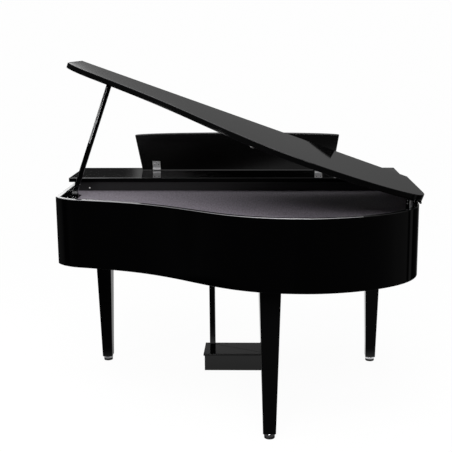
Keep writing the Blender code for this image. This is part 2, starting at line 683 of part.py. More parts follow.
def make_keyboard_case():
    """Keybed, key frame, end blocks, key slip, fascia and the sliding key cover."""
    box("keybed", (-INNER_HALF, FRONT_Y + KEY_SLIP_THICK + SEAT, RIM_BOTTOM),
        (INNER_HALF, -KEYBED_REAR, KEYBED_TOP), BOARD)
    keys_half = KEY_COUNT * KEY_PITCH / 2
    floor = KEYBED_TOP + SEAT
    frame_back = KEY_BACK + KEY_FRAME_OUT
    frame = box("key_frame", (-keys_half, KEY_FRONT + KEY_FRAME_IN, floor),
                (keys_half, frame_back, floor + KEY_FRAME_BASE), ALUMINIUM)
    rail_foot = floor + KEY_FRAME_BASE / 2
    pivot_rail = box_mesh("pivot_rail", (-keys_half, KEY_BACK - KEY_SPINE, rail_foot),
                          (keys_half, frame_back, WHITE_TOP - WHITE_THICK - KEY_REST))
    combine(frame, pivot_rail, "UNION")
    rail_y = KEY_FRONT + FRONT_RAIL_BACK
    front_rail = box_mesh("front_rail", (-keys_half, rail_y - FRONT_RAIL_DEPTH / 2, rail_foot),
                          (keys_half, rail_y + FRONT_RAIL_DEPTH / 2, floor + FRONT_RAIL_RISE))
    combine(frame, front_rail, "UNION")
    block_inner = keys_half + KEY_GAP
    block_front = FRONT_Y + KEY_SLIP_THICK + SEAT
    block_top = COVER_BOTTOM - SEAT
    for side, sign in (("treble", 1), ("bass", -1)):
        low_x, high_x = sorted((sign * block_inner, sign * INNER_HALF))
        block = box(f"{side}_end_block", (low_x, block_front, floor),
                    (high_x, -BLOCK_REAR, block_top), LACQUER)
        bevelled(block, FINE_BEVEL, 1)
    slip = box("key_slip", (-INNER_HALF, FRONT_Y, RIM_BOTTOM),
               (INNER_HALF, FRONT_Y + KEY_SLIP_THICK, RIM_BOTTOM + KEY_SLIP_RISE), LACQUER)
    bevelled(slip, EDGE_BEVEL, 1)
    make_fascia()
    cover_half = INNER_HALF - COVER_SIDE_GAP
    cover = box("key_cover", (-cover_half, COVER_FRONT, COVER_BOTTOM),
                (cover_half, COVER_FRONT + COVER_LENGTH, COVER_TOP), LACQUER)
    pull_low = Vector((-COVER_PULL[0] / 2, COVER_FRONT - WELD_IN, COVER_TOP - WELD_IN))
    pull = box_mesh("cover_pull", pull_low, pull_low + Vector(COVER_PULL))
    combine(cover, pull, "UNION")


def make_fascia():
    """Panel above the keys with its display, volume knob and push buttons."""
    low = COVER_TOP + COVER_PULL[2] + WELD_IN
    fascia = box("front_fascia", (-INNER_HALF, FASCIA_FRONT, low),
                 (INNER_HALF, FASCIA_FRONT + FASCIA_THICK, BOARD_UNDER - SEAT), LACQUER)
    wide, tall, thick = DISPLAY_SIZE
    box("display", (-wide / 2, FASCIA_FRONT - SEAT - thick, PANEL_AXIS_Z - tall / 2),
        (wide / 2, FASCIA_FRONT - SEAT, PANEL_AXIS_Z + tall / 2), GLASS)
    bore = KNOB_SHAFT + BUTTON_CLEARANCE
    depth = FASCIA_FRONT + BUTTON_HOLE_DEPTH
    start = FASCIA_FRONT - CUT_PAST
    hole = rod_mesh("shaft_hole", bore, (KNOB_X, start, PANEL_AXIS_Z), (KNOB_X, depth, PANEL_AXIS_Z))
    combine(fascia, hole, "DIFFERENCE")
    place = (KNOB_X, FASCIA_FRONT, PANEL_AXIS_Z)
    body = rod_mesh("volume_knob", KNOB_RADIUS, (0.0, -SEAT, 0.0), (0.0, -SEAT - KNOB_LENGTH, 0.0),
                    32, KNOB_RADIUS * KNOB_TAPER)
    knob = add("volume_knob", body, ALUMINIUM, DATUM, place)
    shaft = rod_mesh("knob_shaft", KNOB_SHAFT, (0.0, -KNOB_LENGTH / 2, 0.0),
                     (0.0, BUTTON_HOLE_DEPTH - WELD_IN, 0.0))
    combine(knob, shaft, "UNION", DATUM, place)
    for name, x in BUTTONS.items():
        hole = rod_mesh(name + "_hole", BUTTON_RADIUS + BUTTON_CLEARANCE,
                        (x, start, PANEL_AXIS_Z), (x, depth, PANEL_AXIS_Z))
        combine(fascia, hole, "DIFFERENCE")
        cap = rod_mesh(name, BUTTON_RADIUS, (0.0, BUTTON_DEPTH, 0.0), (0.0, -BUTTON_PROUD, 0.0))
        add(name, cap, SATIN, DATUM, (x, FASCIA_FRONT, PANEL_AXIS_Z))


def make_pedals():
    """Pedal box on two posts below the keybed, with three pedals on pivots inside it."""
    half_box = PEDAL_BOX_WIDTH / 2
    near = -PEDAL_BOX_NEAR
    front = near - PEDAL_BOX_DEPTH
    body = box("pedal_box", (-half_box, front, PEDAL_BOX_LIFT),
               (half_box, near, PEDAL_BOX_LIFT + PEDAL_BOX_HEIGHT), LACQUER)
    slot_x, slot_y, slot_z = PEDAL_SLOT
    slot_low = PEDAL_BOX_LIFT + PEDAL_SLOT_FLOOR
    axis_y = front + PEDAL_AXIS_IN
    axis_z = PEDAL_BOX_LIFT + PEDAL_AXIS_UP
    neck_end = -PEDAL_AXIS_IN - PEDAL_NECK_LENGTH
    blade_start = -PEDAL_AXIS_IN - PEDAL_BLADE_START
    outline = [(-PEDAL_NECK / 2, PEDAL_HEEL), (-PEDAL_NECK / 2, neck_end),
               (-PEDAL_WIDTH / 2, blade_start)]
    tip = -PEDAL_AXIS_IN - PEDAL_REACH
    round_tip = [(PEDAL_WIDTH / 2 * math.cos(a), tip + PEDAL_WIDTH / 2 * math.sin(a))
                 for a in (math.pi + math.pi * i / 8 for i in range(9))]
    outline += round_tip + [(PEDAL_WIDTH / 2, blade_start), (PEDAL_NECK / 2, neck_end),
                            (PEDAL_NECK / 2, PEDAL_HEEL)]
    for name, step in (("soft_pedal", -1), ("sostenuto_pedal", 0), ("damper_pedal", 1)):
        x = step * PEDAL_PITCH
        slot = box_mesh(name + "_slot", (x - slot_x / 2, front - CUT_PAST, slot_low),
                        (x + slot_x / 2, front + slot_y, slot_low + slot_z))
        combine(body, slot, "DIFFERENCE")
        pivot = (x, axis_y, axis_z)
        pedal = plate(name, outline, -PEDAL_THICK / 2, PEDAL_THICK / 2, BRASS, DATUM, pivot)
        reach = slot_x / 2 - PEDAL_PIN_CLEARANCE
        pin = rod_mesh(name + "_pin", PEDAL_THICK * PEDAL_PIN_PART, (-reach, 0.0, 0.0),
                       (reach, 0.0, 0.0), 16)
        combine(pedal, pin, "UNION", DATUM, pivot)
    edge = PEDAL_TOP_OVERHANG
    top = box("pedal_box_top", (-half_box - edge, front - edge, PEDAL_TOP_BASE),
              (half_box + edge, near + edge, PEDAL_TOP_BASE + PEDAL_TOP_THICK), LACQUER)
    bevelled(top, FINE_BEVEL, 1)
    half = POST_SIDE / 2
    for side, sign in (("treble", 1), ("bass", -1)):
        x = sign * POST_X
        box(f"{side}_lyre_post", (x - half, -POST_Y - half, POST_FOOT),
            (x + half, -POST_Y + half, RIM_BOTTOM - SEAT), LACQUER)


def make_leg(side, x, y, size_x, size_y):
    """A square tapered leg, given its top and foot sizes, and its turned foot."""
    leg = bmesh.new()
    bmesh.ops.create_cube(leg, size=1.0)
    for vertex in leg.verts:
        end = 0 if vertex.co.z > 0 else 1
        height = RIM_BOTTOM - SEAT if end == 0 else FOOT_HEIGHT + SEAT
        vertex.co = (math.copysign(size_x[end] / 2, vertex.co.x),
                     math.copysign(size_y[end] / 2, vertex.co.y), height)
    mesh = bpy.data.meshes.new(f"{side}_leg")
    leg.to_mesh(mesh)
    leg.free()
    bevelled(add(f"{side}_leg", mesh, LACQUER, DATUM, (x, y, 0.0)), EDGE_BEVEL, 1)
    profile = [(0.0, FOOT_HEIGHT), (FOOT_RING, FOOT_HEIGHT), (FOOT_RING, FOOT_GLIDE_HEIGHT),
               (FOOT_GLIDE, FOOT_GLIDE_HEIGHT), (FOOT_GLIDE - GLIDE_TAPER, 0.0), (0.0, 0.0)]
    turned(f"{side}_foot", profile, CHROME, (x, y, 0.0))


def make_legs():
    """Two front legs under the keybed and one under the tail, turned a quarter."""
    make_leg("treble", FRONT_LEG_X, FRONT_LEG_Y, LEG_NARROW, LEG_WIDE)
    make_leg("bass", -FRONT_LEG_X, FRONT_LEG_Y, LEG_NARROW, LEG_WIDE)
    make_leg("tail", TAIL_LEG_X, TAIL_LEG_Y, LEG_WIDE, LEG_NARROW)


def make_electronics():
    """Speaker boxes and circuit board inside the case, and the socket box below it."""
    floor = BODY_FLOOR + SEAT
    wide, deep, tall = SPEAKER_BOX
    for side, sign in (("treble", 1), ("bass", -1)):
        x = sign * SPEAKER_X
        speaker = box(f"{side}_speaker", (x - wide / 2, SPEAKER_Y - deep / 2, floor),
                      (x + wide / 2, SPEAKER_Y + deep / 2, floor + tall), SATIN)
        top, bottom = CONE_RADIUS
        cone = rod_mesh("cone", bottom, (x, SPEAKER_Y, floor + tall - CONE_DEPTH),
                        (x, SPEAKER_Y, floor + tall + WELD_IN), 28, top)
        combine(speaker, cone, "DIFFERENCE")
    board_x, board_y, board_z = MAIN_BOARD
    board_low = floor + STANDOFF_HEIGHT
    board_middle = board_low + board_z / 2
    board = box("main_board", (-board_x / 2, MAIN_BOARD_Y - board_y / 2, board_low),
                (board_x / 2, MAIN_BOARD_Y + board_y / 2, board_low + board_z), CIRCUIT)
    for sx in (-1, 1):
        for sy in (-1, 1):
            x = sx * (board_x / 2 - STANDOFF_INSET)
            y = MAIN_BOARD_Y + sy * (board_y / 2 - STANDOFF_INSET)
            standoff = rod_mesh("standoff", STANDOFF_RADIUS, (x, y, floor), (x, y, board_middle), 12)
            combine(board, standoff, "UNION")
    for x, y, size, rise in CHIPS:
        low = Vector((x - size / 2, MAIN_BOARD_Y + y - size / 2, board_middle))
        combine(board, box_mesh("chip", low, low + Vector((size, size, rise))), "UNION")
    box_x, box_y, box_z = SOCKET_BOX
    under = RIM_BOTTOM - SEAT
    low = Vector((SOCKET_BOX_X - box_x / 2, SOCKET_BOX_Y - box_y / 2, under - box_z))
    sockets = box("socket_box", low, low + Vector(SOCKET_BOX), SATIN)
    inlet_x, inlet_y, inlet_z = INLET
    centre = SOCKET_BOX_X - INLET_OFFSET
    middle = under - box_z / 2
    rear = SOCKET_BOX_Y + box_y / 2
    inlet = box_mesh("inlet", (centre - inlet_x / 2, rear - inlet_y, middle - inlet_z / 2),
                     (centre + inlet_x / 2, rear + CUT_PAST, middle + inlet_z / 2))
    combine(sockets, inlet, "DIFFERENCE")


make_case()
LID = make_lid()
make_prop(LID)
make_music_desk()
make_keyboard_case()
make_keys()
make_pedals()
make_legs()
make_electronics()
bpy.context.view_layer.update()
print("pieces:", sum(obj.type == "MESH" for obj in PARTS.objects))
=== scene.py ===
# %% [markdown]
# # A digital grand piano with its lid open
#
# The piano is seen from behind.  Its solid parts come packed from the CAD, each one already in
# its place, and this lesson dresses them: it replaces the plain solids by rounded surfaces, adds
# the small fittings and gives everything a finish.  Numbers for a shape are in metres.

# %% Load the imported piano
import math

import bmesh
import bpy
import numpy as np
from mathutils import Matrix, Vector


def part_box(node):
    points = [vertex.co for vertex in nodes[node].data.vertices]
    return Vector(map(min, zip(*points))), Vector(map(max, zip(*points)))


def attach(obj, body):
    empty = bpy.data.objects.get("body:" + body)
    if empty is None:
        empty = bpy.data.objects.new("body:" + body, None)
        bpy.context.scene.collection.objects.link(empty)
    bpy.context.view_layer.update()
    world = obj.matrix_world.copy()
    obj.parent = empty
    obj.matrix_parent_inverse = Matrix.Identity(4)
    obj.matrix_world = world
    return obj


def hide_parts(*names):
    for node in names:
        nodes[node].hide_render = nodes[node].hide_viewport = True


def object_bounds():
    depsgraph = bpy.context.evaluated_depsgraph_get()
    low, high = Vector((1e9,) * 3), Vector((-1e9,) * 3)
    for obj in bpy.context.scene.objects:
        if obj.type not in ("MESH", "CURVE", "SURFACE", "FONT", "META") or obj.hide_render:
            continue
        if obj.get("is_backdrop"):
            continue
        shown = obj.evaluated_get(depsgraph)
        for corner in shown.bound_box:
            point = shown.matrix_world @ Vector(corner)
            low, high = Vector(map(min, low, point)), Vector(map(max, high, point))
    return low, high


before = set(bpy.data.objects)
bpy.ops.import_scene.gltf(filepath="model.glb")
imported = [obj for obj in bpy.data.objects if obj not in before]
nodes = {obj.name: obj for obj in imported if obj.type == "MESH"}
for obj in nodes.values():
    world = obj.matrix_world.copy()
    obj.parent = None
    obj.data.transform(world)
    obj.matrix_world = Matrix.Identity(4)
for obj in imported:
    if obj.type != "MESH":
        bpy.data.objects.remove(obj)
cad_box = [list(corner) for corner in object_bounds()]
print("solids:", len(nodes), "size:", [round(b - a, 4) for a, b in zip(*cad_box)])

# %% [markdown]
# ## One working datum
#
# A grand piano is drawn from its case: X = 0 is the middle of the case and Y = 0 is the rear
# edge of the fixed top board.  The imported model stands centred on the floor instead, so the
# difference is read from two solids, and every shape below is moved by it at the very end.

# %% The datum, and the frames of the leaning parts
RIM_HALF = 0.721  # half the width of the case
RIM_LOW, RIM_TOP = 0.604, 0.881
WALL = 0.020  # thickness of the rim
GAP = 0.0003  # air between pieces that touch
BOARD_DEPTH = 0.3215  # of the fixed top board
FRONT = -0.505  # the player's end of the arms
BOARD_LOW, BOARD_TOP = 0.897, 0.915
COVER_TOP = 0.8585  # of the speckled panel
LID_LOW, LID_TOP = 0.901, 0.923  # of the lid when it is down
LID_LIFT = math.radians(19.67)
DESK_LEAN = math.radians(19.0)
rim_low, rim_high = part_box("rim")
SHIFT = np.array([(rim_low.x + rim_high.x) / 2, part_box("top_board")[1].y, 0.0])
print("datum moved by", np.round(SHIFT, 5))


def frame_at(origin, about_x=0.0, about_y=0.0):
    """A 3x4 table that turns a shape about X, then about Y, and moves it to origin plus SHIFT."""
    cx, sx, cy, sy = math.cos(about_x), math.sin(about_x), math.cos(about_y), math.sin(about_y)
    turn_x = np.array([[1, 0, 0], [0, cx, -sx], [0, sx, cx]])
    turn_y = np.array([[cy, 0, sy], [0, 1, 0], [-sy, 0, cy]])
    return np.column_stack([turn_y @ turn_x, np.array(origin) + SHIFT])


LID_AXIS = (-0.7262, 0.0, 0.8825)
PROP_AXIS = (0.668, 0.150, 0.876)
DESK_AXIS = (0.0, -0.235, 0.9208)
CASE_FRAME = frame_at((0.0, 0.0, 0.0))
LID_FRAME = frame_at(LID_AXIS, about_y=-LID_LIFT)
PROP_FRAME = frame_at(PROP_AXIS, about_y=-LID_LIFT)
DESK_FRAME = frame_at(DESK_AXIS, about_x=-DESK_LEAN)

# %% [markdown]
# ## The camera
#
# The view was worked out from the straight edges of the piano in the photograph: the camera
# stands nearly four metres behind the top board, at head height, and looks a little down.  It
# could also be aimed at a target object, but three angles and a place keep the fitted view
# exactly.  The picture was cropped off centre, and a small lens shift repeats that.

# %% Camera at the photograph's view
FOCAL_PIXELS, FRAME_PIXELS = 903.19, 452.0
CENTRE_PIXELS = (249.47, 225.0)  # where the lens points, from the frame's left and top
EYE = (-0.1348, 3.8631, 1.4983)
PITCH, YAW, ROLL = 0.2019, 0.0197, -0.0036
SENSOR = 36.0  # in millimetres
look = np.array([math.sin(YAW) * math.cos(PITCH), -math.cos(YAW) * math.cos(PITCH), -math.sin(PITCH)])
level_right = np.cross(look, [0.0, 0.0, 1.0])
level_right /= np.linalg.norm(level_right)
level_up = np.cross(level_right, look)
right = math.cos(ROLL) * level_right + math.sin(ROLL) * level_up
up = -math.sin(ROLL) * level_right + math.cos(ROLL) * level_up
lens = bpy.data.cameras.new("photo_view")
lens.sensor_width = SENSOR
lens.lens = FOCAL_PIXELS / FRAME_PIXELS * SENSOR
lens.shift_x = 0.5 - CENTRE_PIXELS[0] / FRAME_PIXELS
lens.shift_y = CENTRE_PIXELS[1] / FRAME_PIXELS - 0.5
lens.clip_end = 60.0
camera = bpy.data.objects.new("photo_view", lens)
bpy.context.scene.collection.objects.link(camera)
place = np.array(EYE) + SHIFT
axes = np.column_stack([right, up, -look])
camera.matrix_world = Matrix([[*row, spot] for row, spot in zip(axes, place)] + [[0, 0, 0, 1]])
bpy.context.scene.camera = camera
bpy.context.scene.view_settings.view_transform = "Standard"
print("lens %.2f mm, camera at %s" % (lens.lens, np.round(place, 3)))

# %% [markdown]
# ## Surfaces from grids
#
# Nearly every part of a piano is flat stock with softened edges, or a wall carried round a curve.
# Such boards could be cubes with a Bevel modifier.  Here they are grids of points instead: one
# direction goes round a closed ring, the other goes from ring to ring.  One helper turns such a
# grid into a closed skin, the rest only compute the rings, and every radius stays a plain number.

# %% Rings, skins and pieces
def grid_skin(grid):
    """Joins point (i, j) of a grid of rings to (i, j+1), (i+1, j+1), (i+1, j); end rings are closed."""
    rows, columns = grid.shape[:2]
    i, j = np.meshgrid(np.arange(rows - 1), np.arange(columns), indexing="ij")
    after = (j + 1) % columns
    below, above = i * columns, (i + 1) * columns
    quads = np.stack([below + j, below + after, above + after, above + j], -1)
    last = (rows - 1) * columns
    return grid.reshape(-1, 3), quads.reshape(-1, 4).tolist() + [
        np.arange(columns)[::-1].tolist(), np.arange(last, last + columns).tolist()]


def together(skins):
    """Several skins in one list of points and one list of faces, with the faces counted on."""
    points, faces, start = [], [], 0
    for spots, rings in skins:
        points.append(spots)
        faces += [[start + k for k in ring] for ring in rings]
        start += len(spots)
    return np.concatenate(points), faces


def anticlockwise(ring):
    """The ring itself, or reversed if the area that it sweeps, half the sum of x dy - y dx, is negative."""
    x, y = ring[:, 0], ring[:, 1]
    area = (x * np.roll(y, -1) - y * np.roll(x, -1)).sum()
    return ring if area > 0 else ring[::-1]


def inset(ring, distance):
    """Moves each corner inwards along the bisector of its sides by distance / cos(half the turn)."""
    ahead = np.roll(ring, -1, axis=0) - ring
    ahead /= np.linalg.norm(ahead, axis=1, keepdims=True)
    left = np.stack([-ahead[:, 1], ahead[:, 0]], 1)
    bisector = left + np.roll(left, 1, axis=0)
    bisector /= np.linalg.norm(bisector, axis=1, keepdims=True)
    reach = distance / np.clip((bisector * left).sum(1), 0.35, 1.0)
    return ring + bisector * reach[:, None]


def edge_rows(low, high, edge, steps=3):
    """(inset, height) pairs up the side of flat stock: a quarter circle of radius edge at each edge."""
    turn = np.linspace(0.0, math.pi / 2, steps + 1)
    foot = np.stack([edge * (1 - np.sin(turn)), low + edge * (1 - np.cos(turn))], 1)
    head = np.stack([foot[::-1, 0], high + low - foot[::-1, 1]], 1)
    return np.concatenate([[[2.5 * edge, low]], foot, head, [[2.5 * edge, high]]])


def slab(ring, low, high, edge=0.0015, steps=3):
    """Flat stock: the ring is inset by the first number of each edge row, at the second one's height."""
    ring = anticlockwise(np.asarray(ring, float))
    rows = edge_rows(low, high, edge, steps)
    return grid_skin(np.stack([np.column_stack([inset(ring, d), np.full(len(ring), z)]) for d, z in rows]))


def rectangle(low, high, corner=0.0015, steps=3):
    """A rectangle's ring between two corners: four quarter circles about the points corner inside it."""
    (x0, y0), (x1, y1) = low, high
    turn = np.linspace(0.0, math.pi / 2, steps + 1)
    left, right, near, far = x0 + corner, x1 - corner, y0 + corner, y1 - corner
    middles = ((right, far, 0.0), (left, far, 0.5), (left, near, 1.0), (right, near, 1.5))
    quarters = []
    for cx, cy, halves in middles:
        along = turn + halves * math.pi
        quarters.append(np.stack([cx + corner * np.cos(along), cy + corner * np.sin(along)], 1))
    return np.concatenate(quarters)


def block(low, high, edge=0.0015, steps=3):
    """A box with every edge rounded: a rounded rectangle as flat stock."""
    return slab(rectangle(low[:2], high[:2], edge, steps), low[2], high[2], edge, steps)


def lathe(profile, centre=(0.0, 0.0, 0.0), axis="z", sides=40):
    """Turns (radius, height) pairs about an axis: point (i, j) is at angle 2 pi j / sides."""
    profile = np.asarray(profile, float)
    angle = np.arange(sides) * 2 * math.pi / sides
    first, second = profile[:, :1] * np.cos(angle), profile[:, :1] * np.sin(angle)
    along = np.repeat(profile[:, 1:], sides, axis=1)
    order = {"z": (first, second, along), "y": (second, along, first), "x": (along, first, second)}
    return grid_skin(np.stack(order[axis], -1) + np.asarray(centre))


def soft_profile(radius, low, high, edge, steps=3):
    """A disc's profile with rounded rims: the edge rows with radius - inset for the first number."""
    rows = edge_rows(low, high, edge, steps)
    return np.stack([radius - rows[:, 0], rows[:, 1]], 1)


print("helpers ready")

# %% [markdown]
# ## From a skin to a piece
#
# A finished piece keeps its object at the origin with its place in its points, like the CAD's
# own solids, so that patterns stay still when the piece moves.  Its faces are turned outwards,
# edges sharper than forty degrees stay crisp, and the weighted normals let the large flat faces
# decide the shading, which polished lacquer needs.

# %% Make, finish and mount a piece
CRISP = math.radians(40)  # edges that turn further stay sharp
made = {}


def make_piece(name, skin, finishes, body, at=None, stands_for=(), tops=None):
    """Moves the points by the frame's table, p' = turn p + place, and lets the mesh ride on a body.

    tops(normal, centre) gives the number of each face's finish.
    """
    table = CASE_FRAME if at is None else at
    points, faces = skin
    points = points @ table[:, :3].T + table[:, 3]
    mesh = bpy.data.meshes.new(name)
    mesh.from_pydata(points.tolist(), [], faces)
    tidy = bmesh.new()
    tidy.from_mesh(mesh)
    bmesh.ops.remove_doubles(tidy, verts=tidy.verts, dist=1e-6)
    bmesh.ops.recalc_face_normals(tidy, faces=tidy.faces)
    tidy.to_mesh(mesh)
    tidy.free()
    mesh.shade_smooth()
    mesh.set_sharp_from_angle(angle=CRISP)
    for finish in finishes if isinstance(finishes, (list, tuple)) else [finishes]:
        mesh.materials.append(finish)
    if tops is not None:
        normals = np.zeros(len(mesh.polygons) * 3)
        centres = np.zeros(len(mesh.polygons) * 3)
        mesh.polygons.foreach_get("normal", normals)
        mesh.polygons.foreach_get("center", centres)
        picked = tops(normals.reshape(-1, 3), centres.reshape(-1, 3) - SHIFT)
        mesh.polygons.foreach_set("material_index", picked.astype(np.int32))
    piece = bpy.data.objects.new(name, mesh)
    bpy.context.scene.collection.objects.link(piece)
    even = piece.modifiers.new("even_shading", "WEIGHTED_NORMAL")
    even.keep_sharp = True
    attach(piece, body)
    if stands_for:
        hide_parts(*stands_for)
    made[name] = len(mesh.polygons)
    print(name, "faces:", len(mesh.polygons))


# %% [markdown]
# ## Finishes
#
# Each finish is a Principled shader whose fixed numbers sit on its own sockets.  What varies over
# the surface comes from two shared groups: one is the faint unevenness that every hand-polished
# or moulded face has, the other is a fine speckle.

# %% Two shader groups
def new_group(name, inputs, outputs):
    """A shader node group with float or vector inputs (name, kind, value) and named outputs."""
    group = bpy.data.node_groups.new(name, "ShaderNodeTree")
    for label, kind, value in inputs:
        socket = group.interface.new_socket(label, in_out="INPUT", socket_type=kind)
        if value is not None:
            socket.default_value = value
    for label, kind in outputs:
        group.interface.new_socket(label, in_out="OUTPUT", socket_type=kind)
    return group, group.nodes.new("NodeGroupInput"), group.nodes.new("NodeGroupOutput")


def add_math(tree, kind, *values, clamp=False):
    """One Math node, fed by sockets or numbers; clamp keeps the result between 0 and 1."""
    node = tree.nodes.new("ShaderNodeMath")
    node.operation = kind
    node.use_clamp = clamp
    for socket, value in zip(node.inputs, values):
        if isinstance(value, (int, float)):
            socket.default_value = value
        else:
            tree.links.new(value, socket)
    return node.outputs[0]


def add_noise(tree, vector, scale, detail=3.0, roughness=0.55):
    """One Noise node; the scale may be a socket."""
    node = tree.nodes.new("ShaderNodeTexNoise")
    node.inputs["Detail"].default_value = detail
    node.inputs["Roughness"].default_value = roughness
    tree.links.new(vector, node.inputs["Vector"])
    if isinstance(scale, (int, float)):
        node.inputs["Scale"].default_value = scale
    else:
        tree.links.new(scale, node.inputs["Scale"])
    return node.outputs["Fac"]


surface, surface_in, surface_out = new_group(
    "uneven_surface",
    [("Vector", "NodeSocketVector", None), ("Scale", "NodeSocketFloat", 60.0),
     ("Roughness", "NodeSocketFloat", 0.1), ("Spread", "NodeSocketFloat", 0.03)],
    [("Roughness", "NodeSocketFloat"), ("Height", "NodeSocketFloat"), ("Patches", "NodeSocketFloat")])
wide = add_noise(surface, surface_in.outputs["Vector"], 2.3, 2.0)
fine = add_noise(surface, surface_in.outputs["Vector"], surface_in.outputs["Scale"])
swing = add_math(surface, "MULTIPLY", add_math(surface, "SUBTRACT", wide, 0.5), surface_in.outputs["Spread"])
uneven = add_math(surface, "ADD", surface_in.outputs["Roughness"], swing)
surface.links.new(uneven, surface_out.inputs["Roughness"])
surface.links.new(fine, surface_out.inputs["Height"])
surface.links.new(wide, surface_out.inputs["Patches"])

speckle, speckle_in, speckle_out = new_group(
    "fine_speckle",
    [("Vector", "NodeSocketVector", None), ("Scale", "NodeSocketFloat", 900.0),
     ("Amount", "NodeSocketFloat", 0.5)],
    [("Mask", "NodeSocketFloat"), ("Height", "NodeSocketFloat")])
grains = speckle.nodes.new("ShaderNodeTexVoronoi")
speckle.links.new(speckle_in.outputs["Vector"], grains.inputs["Vector"])
speckle.links.new(speckle_in.outputs["Scale"], grains.inputs["Scale"])
grain_tone = speckle.nodes.new("ShaderNodeSeparateColor")
speckle.links.new(grains.outputs["Color"], grain_tone.inputs[0])
cloud = add_noise(speckle, speckle_in.outputs["Vector"], 140.0, 4.0, 0.7)
both_tones = add_math(speckle, "ADD", grain_tone.outputs[0], cloud)
mask = add_math(speckle, "MULTIPLY", both_tones, speckle_in.outputs["Amount"])
speckle.links.new(mask, speckle_out.inputs["Mask"])
speckle.links.new(cloud, speckle_out.inputs["Height"])
print("groups:", surface.name, speckle.name)


# %% [markdown]
# Polished black polyester is almost pure black: what we see is the room in it.  A picture of the
# room could be mapped on it, but would stay put as the lid moves.  The shader is therefore a very
# dark base under a nearly mirror-smooth surface, with an orange-peel bump far too low to see
# except in the edges of reflections.

# %% The finish helper
def new_finish(name, colour, second, roughness, spread=0.02, scale=60.0, bump=0.0, metallic=0.0, **fixed):
    """A Principled material: colour blends to second over wide patches; fixed sets shader sockets."""
    material = bpy.data.materials.new(name)
    material.use_nodes = True
    tree = material.node_tree
    shader = tree.nodes["Principled BSDF"]
    shader.inputs["Metallic"].default_value = metallic
    for label, value in fixed.items():
        shader.inputs[label.replace("_", " ").title().replace("Ior", "IOR")].default_value = value
    spot = tree.nodes.new("ShaderNodeTexCoord").outputs["Object"]
    group = tree.nodes.new("ShaderNodeGroup")
    group.node_tree = surface
    group.inputs["Scale"].default_value = scale
    group.inputs["Roughness"].default_value = roughness
    group.inputs["Spread"].default_value = spread
    tree.links.new(spot, group.inputs["Vector"])
    tree.links.new(group.outputs["Roughness"], shader.inputs["Roughness"])
    blend = tree.nodes.new("ShaderNodeMix")
    blend.data_type = "RGBA"
    blend.inputs[6].default_value = (*colour, 1.0)
    blend.inputs[7].default_value = (*second, 1.0)
    tree.links.new(group.outputs["Patches"], blend.inputs[0])
    tree.links.new(blend.outputs[2], shader.inputs["Base Color"])
    if bump:
        relief = tree.nodes.new("ShaderNodeBump")
        relief.inputs["Distance"].default_value = bump
        tree.links.new(group.outputs["Height"], relief.inputs["Height"])
        tree.links.new(relief.outputs["Normal"], shader.inputs["Normal"])
    return material


LACQUER = new_finish(
    "black_lacquer", (0.0003, 0.0003, 0.0004), (0.0005, 0.0005, 0.0006), 0.020, 0.02, 35.0, 0.00001)
TOP_LACQUER = new_finish(
    "lid_lacquer", (0.0008, 0.0008, 0.0009), (0.0012, 0.0012, 0.0013), 0.05, 0.03, 28.0, 0.00001)
EDGE_LACQUER = new_finish(
    "rim_edge_lacquer", (0.0030, 0.0030, 0.0032), (0.0045, 0.0045, 0.0047), 0.12, 0.04, 90.0, 0.00001)
# Pale metal for the rim's arris: a painted highlight, the light line along the black rim's edge.
PAINTED_HIGHLIGHT_ARRIS = new_finish(
    "painted_highlight_arris", (0.36, 0.36, 0.37), (0.44, 0.44, 0.45), 0.30, 0.06, 160.0, 0.00002, metallic=0.9)
BOX_LACQUER = new_finish(
    "pedal_box_lacquer", (0.0020, 0.0020, 0.0022), (0.0030, 0.0030, 0.0032), 0.10, 0.03, 60.0,
    specular_ior_level=0.28)
DESK_LACQUER = new_finish(
    "desk_lacquer", (0.0040, 0.0040, 0.0040), (0.0054, 0.0054, 0.0054), 0.24, 0.03, 60.0)
INNER_BLACK = new_finish(
    "inner_black", (0.0040, 0.0039, 0.0041), (0.0060, 0.0058, 0.0062), 0.30, 0.05, 120.0, 0.00002)
MATT_EDGE = new_finish(
    "matt_edge", (0.0002, 0.0002, 0.0003), (0.0004, 0.0004, 0.0005), 0.22, 0.05, 120.0,
    specular_ior_level=0.08)
LID_SIDE = new_finish(
    "lid_side_lacquer", (0.0020, 0.0020, 0.0021), (0.0028, 0.0028, 0.0029), 0.08, 0.03, 60.0,
    specular_ior_level=0.2)
print("lacquers ready")

# %% [markdown]
# The small parts use the same helper with other numbers.  Plated metals are metallic, and differ
# by their colour and by how far they blur a reflection.  Plastics, rubber and glass are not.

# %% Metals, plastics and glass
SATIN = new_finish(
    "satin_black", (0.010, 0.010, 0.011), (0.016, 0.016, 0.017), 0.42, 0.08, 400.0, 0.00005)
RUBBER = new_finish(
    "black_rubber", (0.012, 0.012, 0.012), (0.020, 0.020, 0.020), 0.70, 0.10, 300.0, 0.00006)
CHROME = new_finish(
    "chrome", (0.74, 0.74, 0.76), (0.82, 0.82, 0.84), 0.12, 0.05, 120.0, 0.00001, metallic=1.0)
STEEL = new_finish(
    "screw_steel", (0.50, 0.50, 0.52), (0.62, 0.62, 0.64), 0.26, 0.08, 300.0, 0.00002, metallic=1.0)
BRASS = new_finish(
    "polished_brass", (0.76, 0.54, 0.22), (0.84, 0.63, 0.30), 0.16, 0.08, 90.0, 0.00002, metallic=1.0)
ZINC = new_finish(
    "bright_zinc", (0.66, 0.66, 0.67), (0.76, 0.76, 0.77), 0.42, 0.05, 300.0, 0.00002, metallic=0.3)
IVORY = new_finish(
    "white_key_plastic", (0.78, 0.76, 0.70), (0.83, 0.81, 0.76), 0.20, 0.05, 200.0, 0.00001)
EBONY = new_finish(
    "black_key_plastic", (0.008, 0.008, 0.008), (0.014, 0.014, 0.014), 0.30, 0.08, 240.0, 0.00004)
